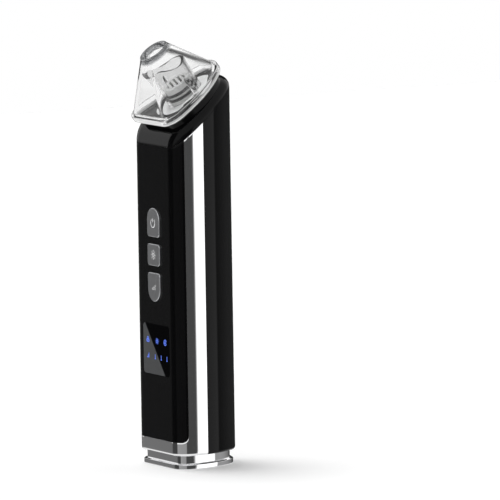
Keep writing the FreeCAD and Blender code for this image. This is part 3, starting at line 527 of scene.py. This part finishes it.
# the back shell: skin from the frame's rear edge round the back, and from the underside to the seam
def makeBackShell():
    gap = casing["shownSeam"] / 2
    uStart = uAtY(body, frameEdgeY + gap)
    right = spread(uStart, 14, 4, 16, 5)
    u = np.concatenate([right, -right[-2::-1]])
    top = skinCross(u, -casing["collarDrop"] - gap)
    foot = rimZ + casing["rimRound"]
    rows = spread(0, 20, 0.9, 12, 1)[1:]
    grid = np.concatenate([rimRows(u), skinAt(u, foot + (top - foot) * rows[:, None])])
    return shellPiece("backShell", [grid], casing["wall"])


# the collar: from the seam up and over the rounding to the deck, in under the pedestal, down and back out
def makeCollar():
    gap = casing["shownSeam"] / 2
    rise, radius, start = skinShape(loop, 0.0)[4:]
    low = skinCross(loop, -casing["collarDrop"] + gap)
    high = start + radius * (math.pi / 2 + rise)
    rows = [skinAt(loop, low + (high - low) * t) for t in spread(0, 1, 0.03, 18, 1)]
    x, w = planAt(flange, loop, casing["collarHole"])[:2]
    deck = onSlope(x, w, -casing["deckDrop"])
    rows += [(rows[-1] + deck) / 2, deck, onSlope(x, w, -casing["deckDrop"] - casing["deckThick"])]
    for h in (casing["collarSkirt"], gap):
        rows.append(skinAt(loop, skinCross(loop, -casing["collarDrop"] + h, casing["wall"]), casing["wall"]))
    return ringPiece("topCollar", rows)


# circle about the port whose points face the flange outline's, so that the two can be joined straight
def ringAt(u, r):
    x, w = planAt(flange, u)[:2]
    a = np.arctan2(w - portW, x)
    return r * np.cos(a), portW + r * np.sin(a)


# the flange's outline at an inset, h over the seat
def flangeRow(inset, h):
    x, w = planAt(flange, loop, inset)[:2]
    return onSlope(x, w, h)


# circle about the port, h over the seat, with a point for each of the outline's
def ringRow(r, h):
    x, w = ringAt(loop, r)
    return onSlope(x, w, h)


pedestal = {
    "inset": 2.7,      # its side from the flange's outline
    "hole": 6.65,      # round hole for the port
    "edge": 0.35,
    "foot": 0.4,       # its foot over the deck's underside
}


# The pedestal: up its side, round the top edge, across to the port's hole and down into it.
def makePedestal():
    p = pedestal
    e, foot = p["edge"], p["foot"] - casing["deckDrop"] - casing["deckThick"]
    section = ((0, foot), (0, -e), (e * 0.3, -e * 0.3), (e, 0))
    rows = [flangeRow(p["inset"] + inset, h) for inset, h in section]
    brim = ringRow(p["hole"], 0)
    rows += [(rows[-1] + brim) / 2, brim, ringRow(p["hole"], foot)]
    return ringPiece("pedestal", rows)


window = {
    "r": 1.7,
    "ledge": 0.12,                                                        # gap round the pane
    "section": ((0.3, 1.0), (0, 0.8), (0, 0.12), (0.03, 0.03), (0.12, 0)),  # inset and depth, rear to front
}
keys = {
    "power_button": (1.5, 5.5), "light_button": (1.5, 1.5), "mode_button": (5.5, 1.5),  # lower, upper corners
    "half": 5.5, "gap": 0.15, "edge": 0.32,
    "rearFlange": 0.7,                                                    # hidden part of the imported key
}
openingDepth = (-3, 5)                                                    # cuts through the cover


# rounded upright plate outline: four quarter circles with their own radii less the inset, as (x, z)
def plateOutline(half, z0, z1, lowR, highR, inset=0.0, steps=9):
    xs, zs = [], []
    for side, r, middleZ, first in ((1, lowR, z0 + lowR, -90), (1, highR, z1 - highR, 0),
                                    (-1, highR, z1 - highR, 90), (-1, lowR, z0 + lowR, 180)):
        turn = np.radians(np.linspace(first, first + 90, steps))
        xs.append(side * (half - r) + (r - inset) * np.cos(turn))
        zs.append(middleZ + (r - inset) * np.sin(turn))
    return np.concatenate(xs), np.concatenate(zs)


# closed plate: the outline at rows of (inset, y), with one flat face at either end
def platePiece(name, outline, rows):
    points = []
    for inset, y in rows:
        x, z = plateOutline(*outline, inset)
        points.append(np.stack([x, np.full_like(x, y), z], axis=-1))
    count = len(points[0])
    faces = gridFaces(len(rows), count, wrapCols=True).tolist()
    faces.append(list(range(count)))
    faces.append(list(range((len(rows) - 1) * count, len(rows) * count))[::-1])
    piece = newPiece(name, np.stack(points), faces)
    tidyMesh(piece)
    return piece


# half width, lower and upper edge, lower and upper radius of a key, grown by a gap
def keyOutline(name, grow=0.0):
    low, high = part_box(name)
    flangeGrow = high.x / mm - keys["half"]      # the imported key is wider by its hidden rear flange
    lowR, highR = keys[name]
    return (keys["half"] + grow, low.z / mm + flangeGrow - grow, high.z / mm - flangeGrow + grow,
            lowR + grow, highR + grow)


# the same for the pane
def windowOutline(grow=0.0):
    low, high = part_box("display_window")
    r = window["r"] + grow
    return high.x / mm + grow, low.z / mm - grow, high.z / mm + grow, r, r


# exact booleans, after which the cutters go
def cutWith(piece, cutters):
    for cutter in cutters:
        addModifier(piece, "BOOLEAN", object=cutter, operation="DIFFERENCE", solver="EXACT")
    applyModifiers(piece)
    for cutter in cutters:
        bpy.data.objects.remove(cutter)


print("casing")
keyNames = ("power_button", "light_button", "mode_button")
cover = makeFrontCover()
breakEdges(cover, casing["edge"])
through = [(0, frontY + depth) for depth in openingDepth]
cutters = [platePiece("cut_" + name, keyOutline(name, keys["gap"]), through) for name in keyNames]
cutters.append(platePiece("cut_window", windowOutline(window["ledge"]), through))
cutWith(cover, cutters)
finishPiece(cover, pianoBlackAbs, "body", ["front_cover"])
finishPiece(makeMidFrame(), chromePlate, "body", ["mid_frame"], casing["edge"])
finishPiece(makeBackShell(), pianoBlackAbs, "body", ["back_shell"], casing["edge"])
finishPiece(makeCollar(), pianoBlackAbs, "body", ["top_collar"], casing["edge"])
finishPiece(makePedestal(), pianoBlackAbs, "body", [])

lightRing = {"inner": 6.75, "outer": 13.6, "base": -0.3, "top": 0.07, "edge": 0.12}   # heights over the seat


# flat washer round the port: five corners of its section carried round a circle
def makeLightRing():
    k = lightRing
    section = [(k["inner"], k["base"]), (k["outer"], k["base"]), (k["outer"], k["top"] - k["edge"]),
               (k["outer"] - k["edge"], k["top"]), (k["inner"], k["top"])]
    turn = np.linspace(0, 2 * math.pi, 97)[:-1]
    rows = [onSlope(r * np.cos(turn), portW + r * np.sin(turn), h) for r, h in section]
    return ringPiece("lightRing", rows)


finishPiece(makeLightRing(), reflectorWhite, "body", [])

foot = {
    "neck": 2.5, "flange": 1.0, "shoulder": 1.55, "recess": 3.35, "inner": 5.8,   # insets from the casing
    "lift": 0.05, "flangeTop": 2.1, "shoulderTop": 2.4, "recessTop": 0.85,        # heights
    "edge": 0.3, "ease": 0.1,
}


# from the pad's recess out under the flange, up its side, in over the low shoulder, and up the neck
def makeFoot():
    f = foot
    e, ease, side, lift = f["edge"], f["ease"], f["flange"], f["lift"]
    profile = [(f["recess"], f["recessTop"]), (f["recess"], lift + ease), (f["recess"] - ease, lift),
               (side + e, lift), (side + 0.3 * e, lift + 0.3 * e), (side, lift + e),
               (side, f["flangeTop"] - 0.6 * e), (side + 0.1 * e, f["flangeTop"] - 0.2 * e),
               (side + 0.5 * e, f["flangeTop"]), (f["shoulder"], f["shoulderTop"]),
               (f["neck"] - ease, f["shoulderTop"]), (f["neck"], f["shoulderTop"] + ease),
               (f["neck"], rimZ), (f["inner"], rimZ), (f["inner"], f["recessTop"])]
    rows = []
    for inset, z in profile:
        x, y = planAt(body, loop, inset)[:2]
        rows.append(np.stack([x, y, np.full_like(x, z)], axis=-1))
    return ringPiece("footRing", rows)


print("foot")
finishPiece(makeFoot(), chromePlate, "body", ["foot"])

print("window and keys")
section = [(inset, frontY + depth) for inset, depth in window["section"]]
pane = platePiece("displayWindow", windowOutline(), section)
finishPiece(pane, screenGlass, "body", ["display_window"])


# Ribbons of one width along paths in the XZ plane, standing a little out of a face at depth y: the path
# plus and minus half the width along its normal, at two depths, closed at its ends.
def strokePiece(name, paths, width, y, rise):
    points, faces, first = [], [], 0
    for path in paths:
        path = np.asarray(path, float)
        closed = np.allclose(path[0], path[-1])
        way = np.gradient(path, axis=0)
        if closed:
            way[0] = way[-1] = path[1] - path[-2]
        side = np.stack([-way[:, 1], way[:, 0]], axis=-1)
        side /= np.linalg.norm(side, axis=1)[:, None]
        rings = []
        for s, depth in ((-0.5, 0), (-0.5, 1), (0.5, 1), (0.5, 0)):
            flat = path + side * width * s
            rings.append(np.stack([flat[:, 0], np.full(len(path), y - rise * depth), flat[:, 1]], axis=-1))
        grid = np.stack(rings, axis=1)
        faces += gridFaces(len(path), 4, wrapCols=True, first=first).tolist()
        if not closed:
            faces += [[first, first + 1, first + 2, first + 3],
                      [first + 4 * len(path) - k for k in (1, 2, 3, 4)]]
        points.append(grid.reshape(-1, 3))
        first += 4 * len(path)
    piece = newPiece(name, np.concatenate(points), faces)
    tidyMesh(piece)
    return piece


# points on a circle from one angle to another, in degrees
def arcPath(cx, cz, r, start=0, end=360, steps=25):
    turn = np.radians(np.linspace(start, end, steps))
    return np.stack([cx + r * np.cos(turn), cz + r * np.sin(turn)], axis=-1)


# straight line of two points
def line(x0, z0, x1, z1):
    return np.array([[x0, z0], [x1, z1]])


# rays round a point, between two radii
def rays(cx, cz, inner, outer):
    turns = np.radians(np.arange(0, 360, 45))
    return [line(cx + inner * math.cos(a), cz + inner * math.sin(a), cx + outer * math.cos(a),
                 cz + outer * math.sin(a)) for a in turns]


signs = {
    "topRow": 0.33, "lowRow": 0.64,                      # down the pane, as shares of its height
    "topAt": (0.178, 0.532, 0.84), "lowAt": (0.178, 0.45, 0.68, 0.9),    # across it
    "size": 1.4, "stroke": 0.38, "stand": 0.03, "sunk": 0.01,
    "ramp": 0.7, "below": 1.1, "above": 0.9, "base": 0.45,
}


# fan, sun and ring above; a ramp and three charge bars below
def makeSigns():
    low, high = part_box("display_window")
    wide, tall = (high.x - low.x) / mm, (high.z - low.z) / mm
    fan, sunX, ringX = (low.x / mm + wide * share for share in signs["topAt"])
    z, r = high.z / mm - tall * signs["topRow"], signs["size"]
    paths = [arcPath(fan + 0.5 * r * math.cos(a), z + 0.5 * r * math.sin(a), 0.42 * r, steps=17)
             for a in np.radians([90, 210, 330])]
    paths.append(arcPath(sunX, z, 0.42 * r, steps=21))
    paths += rays(sunX, z, 0.72 * r, r)
    paths += [arcPath(ringX, z, 0.85 * r, 20, 340, 29), arcPath(ringX, z, 0.35 * r, steps=17)]
    z, step, foot = high.z / mm - tall * signs["lowRow"], signs["ramp"], signs["below"]
    rampX, *bars = (low.x / mm + wide * share for share in signs["lowAt"])
    paths += [line(rampX + step * i, z - foot, rampX + step * i, z - 0.5 + 0.8 * (i + 1)) for i in (-1, 0, 1)]
    for x in bars:
        paths += [line(x, z - foot, x, z + signs["above"]),
                  line(x - signs["base"], z - foot, x + signs["base"], z - foot)]
    return strokePiece("displaySigns", paths, signs["stroke"], frontY + signs["sunk"], signs["stand"])


finishPiece(makeSigns(), screenLight, "body", ["display_icons"])


# a key: straight sides and a quarter-round edge at the face
def makeKey(name):
    low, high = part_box(name)
    face, rear, e = low.y / mm, high.y / mm - keys["rearFlange"], keys["edge"]
    rows = [(0, rear)] + [(e * (1 - math.cos(a)), face + e * (1 - math.sin(a))) for a in quarter(6)]
    return platePiece(name.replace("_button", "Key"), keyOutline(name), rows)


marks = {
    "stroke": 0.38, "stand": 0.05, "sunk": 0.01, "size": 1.9,
    "levelX": (-1.2, 0, 1.2), "levelFoot": -1.2, "levelTop": -0.3, "levelStep": 0.7,
}


# power ring with its bar, a sun, and three bars for the suction level
def makeMark(name):
    z0, z1 = keyOutline(name)[1:3]
    z, r = (z0 + z1) / 2, marks["size"]
    if name == "power_button":
        paths = [arcPath(0, z - 0.3, r, 125, 415), line(0, z + 0.1, 0, z + r)]
    elif name == "light_button":
        paths = [arcPath(0, z, 0.42 * r)] + rays(0, z, 0.75 * r, 1.15 * r)
    else:
        paths = [line(x, z + marks["levelFoot"], x, z + marks["levelTop"] + marks["levelStep"] * i)
                 for i, x in enumerate(marks["levelX"])]
    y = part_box(name)[0].y / mm + marks["sunk"]
    return strokePiece(name.replace("_button", "Mark"), paths, marks["stroke"], y, marks["stand"])


for name in keyNames:
    bodyName = name.replace("_button", "_key")
    finishPiece(makeKey(name), satinChrome, bodyName, [name])
    finishPiece(makeMark(name), brightLine, bodyName, [])

hood = {
    "lift": 0.1, "flangeTop": 3.1, "edge": 0.5,          # flange, over the seat plane
    "wallInset": 1.2, "wall": 1.6,                       # wall's foot, in from the flange's outline
    "tipR": 7.0, "boreR": 4.4, "top": 25.4, "ring": 0.7, "bore": 3.0,        # mouth
    "tipRound": 0.5, "lipWide": 1.9, "lipDeep": 2.4,     # its outer round, and the bell of its lip
    "rows": 22,
    "tubeR": 8.7, "tubeBore": 7.4, "tubeGap": 0.3, "tubeShort": 0.25,        # inner tube, clear of the wall
}


# rows between the D outline and a circle, on straight lines from one to the other
def ruledRows(inset, lowH, r, highH, count):
    low, high = flangeRow(inset, lowH), ringRow(r, highH)
    return [low + (high - low) * t for t in np.linspace(0, 1, count + 2)[1:-1]]


# Flange, ruled wall, mouth ring and bore, and back down the inside, as one closed ring. The lip is a
# quarter ellipse from the mouth's face down to the bore.
def makeHood():
    k = hood
    e, tip, top, brim = k["edge"], k["tipRound"], k["top"], k["flangeTop"]
    inside, ringFoot, boreFoot = k["wallInset"] + k["wall"], k["top"] - k["ring"], k["top"] - k["bore"]
    rows = [flangeRow(inside, k["lift"])]
    rows += [flangeRow(e * (1 - math.sin(a)), k["lift"] + e * (1 - math.cos(a))) for a in quarter()]
    rows += [flangeRow(e * (1 - math.cos(a)), brim - e * (1 - math.sin(a))) for a in quarter()]
    rows.append(flangeRow(k["wallInset"], brim))
    rows += ruledRows(k["wallInset"], brim, k["tipR"], ringFoot, k["rows"])
    rows.append(ringRow(k["tipR"], ringFoot))
    rows += [ringRow(k["tipR"] - tip * (1 - math.cos(a)), top - tip * (1 - math.sin(a))) for a in quarter(6)]
    rows += [ringRow(k["boreR"] + k["lipWide"] * (1 - math.sin(a)), top - k["lipDeep"] * (1 - math.cos(a)))
             for a in quarter(8)]
    rows.append(ringRow(k["boreR"], boreFoot))
    rows += ruledRows(inside, brim, k["boreR"], boreFoot, k["rows"])[::-1]
    rows.append(flangeRow(inside, brim))
    return ringPiece("clearHood", rows)


# The inner tube stops a little short of where each of the hood's inside lines, from the wall's foot to
# the bore, reaches the tube's radius. That point is found by halving the line.
def makeTube():
    k = hood
    low = planAt(flange, loop, k["wallInset"] + k["wall"] + k["tubeGap"])[:2]
    high = ringAt(loop, k["boreR"])
    a, b = np.zeros(len(loop)), np.ones(len(loop))
    for _ in range(40):
        t = (a + b) / 2
        x, w = low[0] + (high[0] - low[0]) * t, low[1] + (high[1] - low[1]) * t - portW
        wide = np.hypot(x, w) > k["tubeR"]
        a, b = np.where(wide, t, a), np.where(wide, b, t)
    turn = np.arctan2(w, x)
    top = k["flangeTop"] + (k["top"] - k["bore"] - k["flangeTop"]) * a - k["tubeShort"]
    rows = [onSlope(r * np.cos(turn), portW + r * np.sin(turn), k["lift"] + (top - k["lift"]) * level)
            for r, levels in ((k["tubeR"], (0, 0.5, 1)), (k["tubeBore"], (1, 0.5, 0))) for level in levels]
    return ringPiece("clearTube", rows)


print("head")
for piece, plastic, node in ((makeHood(), hoodPlastic, "suction_hood"),
                             (makeTube(), tubePlastic, "head_tube")):
    finishPiece(piece, plastic, "head", [node])
    piece.visible_shadow = piece.visible_diffuse = False      # clear walls let the lamps' light in

print("stage")
view = {
    "azimuth": 61.2, "elevation": 6.36, "roll": 0.92, "distance": 4000.0,
    "frame": 500, "scale": 2.246,                                # side of the view, and its units per mm
    "anchor": (0.0, 0.0, 90.0), "anchorAt": (191.6, 262.6),      # this point of the part shows there
    "sensor": 36, "farEnd": 20,
}


# A long lens from afar. The aim is the anchor's place, moved across the view until the anchor shows
# where it belongs.
def makeCamera():
    v = view
    az, el, roll = (math.radians(v[k]) for k in ("azimuth", "elevation", "roll"))
    forward = np.array([-math.sin(az) * math.cos(el), math.cos(az) * math.cos(el), -math.sin(el)])
    right = np.array([math.cos(az), math.sin(az), 0])
    up = np.cross(right, forward)
    upLean = up * math.cos(roll) + right * math.sin(roll)
    rightLean = right * math.cos(roll) - up * math.sin(roll)
    half = v["frame"] / 2
    aim = (np.array(v["anchor"]) + rightLean * (half - v["anchorAt"][0]) / v["scale"]
           + upLean * (v["anchorAt"][1] - half) / v["scale"])
    data = bpy.data.cameras.new("camera")
    data.sensor_width = v["sensor"]
    data.lens = v["scale"] * v["distance"] * v["sensor"] / v["frame"]
    data.clip_end = v["farEnd"]
    camera = bpy.data.objects.new("camera", data)
    scene.collection.objects.link(camera)
    place = (aim - forward * v["distance"]) * mm
    axes = np.stack([rightLean, upLean, -forward, place], axis=1)
    camera.matrix_world = Matrix([*axes.tolist(), [0, 0, 0, 1]])
    scene.camera = camera


studio = {
    # compass angles of the cards' edges, and the brightness there
    "turns": (-180, -152, -149.5, -96, -93, -17, -12, 31.8, 33.8, 69.5, 71.5, 83, 95, 111, 133, 180),
    "levels": (0.19, 0.19, 0.055, 0.055, 0.34, 0.30, 0.065, 0.065, 1.4, 1.4, 0.30, 0.33, 0.29, 0.15,
               0.04, 0.04),
    "top": 1.1, "topFrom": -5, "topTo": 0,                   # ceiling, with the elevations where it fades in
    "below": 0.9, "belowFrom": -14, "belowTo": -24,          # floor
    "flagBelow": 0.06, "flagHeight": 40,                     # cards darker than this are tall black flags
    "diffuse": 0.52,                                         # even level on matt surfaces
    "clearFrom": 13, "clearTo": 27, "clearDark": 0.05,       # steep ways through clear parts darken
    "backdropWay": (-0.87, 0.48, 0.0), "clearRoom": 0.3,     # they see the backdrop that way, the room behind
    "clearTurn": 0.35,                                       # half the blend between the two, as a cosine
}


# The studio as seen in reflections: cards and boxes round the horizon by compass angle, a bright
# ceiling and a bright floor. The camera sees plain white, and matt surfaces get one even level. Clear
# parts see a bright backdrop on one side and the dimmer room on the other, darker when steep.
def makeWorld():
    s = studio
    world = bpy.data.worlds.new("studio")
    scene.world = world
    world.use_nodes = True
    tree = world.node_tree
    tree.nodes.clear()
    way = addNode(tree, "ShaderNodeTexCoord").outputs["Generated"]
    split = addNode(tree, "ShaderNodeSeparateXYZ", links={"Vector": way})
    turn = addNode(tree, "ShaderNodeMath", links={0: split.outputs["Y"], 1: split.outputs["X"]},
                   operation="ARCTAN2")
    part = addNode(tree, "ShaderNodeMapRange", {"From Min": -math.pi, "From Max": math.pi},
                   {"Value": turn.outputs["Value"]})
    ring = addNode(tree, "ShaderNodeFloatCurve", links={"Value": part.outputs["Result"]})
    curve = ring.mapping.curves[0]
    top = max(s["levels"])
    spots = [((t + 180) / 360, level / top) for t, level in zip(s["turns"], s["levels"])]
    curve.points[0].location, curve.points[1].location = spots[0], spots[-1]
    for spot in spots[1:-1]:
        curve.points.new(*spot)
    for point in curve.points:
        point.handle_type = "VECTOR"
    ring.mapping.update()
    cards = addNode(tree, "ShaderNodeMath", {1: top}, {0: ring.outputs["Value"]}, operation="MULTIPLY")
    rise = addNode(tree, "ShaderNodeMath", links={0: split.outputs["Z"]}, operation="ARCSINE")
    levels = cards.outputs["Value"]
    # the black flags stand taller than the grey cards, so there the ceiling shows only above them
    flag = addNode(tree, "ShaderNodeMath", {1: s["flagBelow"]}, {0: levels}, operation="LESS_THAN")
    overFlag = addNode(tree, "ShaderNodeMath", {1: -math.radians(s["flagHeight"])},
                       {0: flag.outputs["Value"], 2: rise.outputs["Value"]}, operation="MULTIPLY_ADD")
    for start, end, level, height in ((s["topFrom"], s["topTo"], s["top"], overFlag),
                                      (s["belowFrom"], s["belowTo"], s["below"], rise)):
        fade = addNode(tree, "ShaderNodeMapRange",
                       {"From Min": math.radians(start), "From Max": math.radians(end)},
                       {"Value": height.outputs["Value"]}, interpolation_type="SMOOTHSTEP")
        mix = addNode(tree, "ShaderNodeMix", {"B": level}, {"Factor": fade.outputs["Result"], "A": levels})
        levels = mix.outputs["Result"]
    steep = addNode(tree, "ShaderNodeMath", links={0: rise.outputs["Value"]}, operation="ABSOLUTE")
    through = addNode(tree, "ShaderNodeMapRange",
                      {"From Min": math.radians(s["clearFrom"]), "From Max": math.radians(s["clearTo"]),
                       "To Min": 1.0, "To Max": s["clearDark"]}, {"Value": steep.outputs["Value"]})
    toBackdrop = addNode(tree, "ShaderNodeVectorMath", {1: s["backdropWay"]}, {0: way},
                         operation="DOT_PRODUCT")
    room = addNode(tree, "ShaderNodeMapRange",
                   {"From Min": -s["clearTurn"], "From Max": s["clearTurn"], "To Min": s["clearRoom"],
                    "To Max": 1.0}, {"Value": toBackdrop.outputs["Value"]})
    through = addNode(tree, "ShaderNodeMath", links={0: through.outputs["Result"], 1: room.outputs["Result"]},
                      operation="MULTIPLY")
    path = addNode(tree, "ShaderNodeLightPath")
    level = s["diffuse"]
    steps = (("Is Glossy Ray", levels), ("Is Transmission Ray", through.outputs["Value"]),
             ("Is Camera Ray", None))
    for ray, source in steps:
        mix = addNode(tree, "ShaderNodeMix", {"A": level if isinstance(level, float) else 0.0, "B": 1.0},
                      {"Factor": path.outputs[ray]})
        if not isinstance(level, float):
            tree.links.new(level, mix.inputs["A"])
        if source:
            tree.links.new(source, mix.inputs["B"])
        level = mix.outputs["Result"]
    glow = addNode(tree, "ShaderNodeBackground", {"Color": (1, 1, 1, 1)}, {"Strength": level})
    addNode(tree, "ShaderNodeOutputWorld", links={"Surface": glow.outputs["Background"]})


sweep = {"half": 1500, "colour": "#fefefe", "rough": 0.9, "lift": 0.06}


# white paper sweep: matt, and lifted a little for the camera, so that it meets the white backdrop unseen
def makeFloor():
    side = sweep["half"]
    floor = newPiece("floor", [(-side, -side, 0), (side, -side, 0), (side, side, 0), (-side, side, 0)],
                     [(0, 1, 2, 3)])
    material = bpy.data.materials.new("white paper sweep")
    material.use_nodes = True
    tree = material.node_tree
    shader = tree.nodes["Principled BSDF"]
    shader.inputs["Base Color"].default_value = linear(sweep["colour"])
    shader.inputs["Roughness"].default_value = sweep["rough"]
    shader.inputs["Specular IOR Level"].default_value = 0.0
    path = addNode(tree, "ShaderNodeLightPath")
    lift = addNode(tree, "ShaderNodeMath", {1: sweep["lift"]}, {0: path.outputs["Is Camera Ray"]},
                   operation="MULTIPLY")
    tree.links.new(lift.outputs["Value"], shader.inputs["Emission Strength"])
    shader.inputs["Emission Color"].default_value = (1, 1, 1, 1)
    floor.data.materials.append(material)
    floor.visible_glossy = False


sun = {"from": (-215, -55, 900), "strength": 1.60, "softness": 26}    # softness is its disc, in degrees


# one soft light from overhead and a little left, which puts the shadow to the right
def makeSun():
    data = bpy.data.lights.new("softbox", "SUN")
    data.energy = sun["strength"]
    data.angle = math.radians(sun["softness"])
    lamp = bpy.data.objects.new("softbox", data)
    lamp.visible_glossy = lamp.visible_transmission = False
    scene.collection.objects.link(lamp)
    lamp.location = Vector(sun["from"]) * mm
    lamp.rotation_euler = (-Vector(sun["from"])).to_track_quat("-Z", "Y").to_euler()


makeCamera()
makeWorld()
makeFloor()
makeSun()
scene.view_settings.view_transform = "Standard"
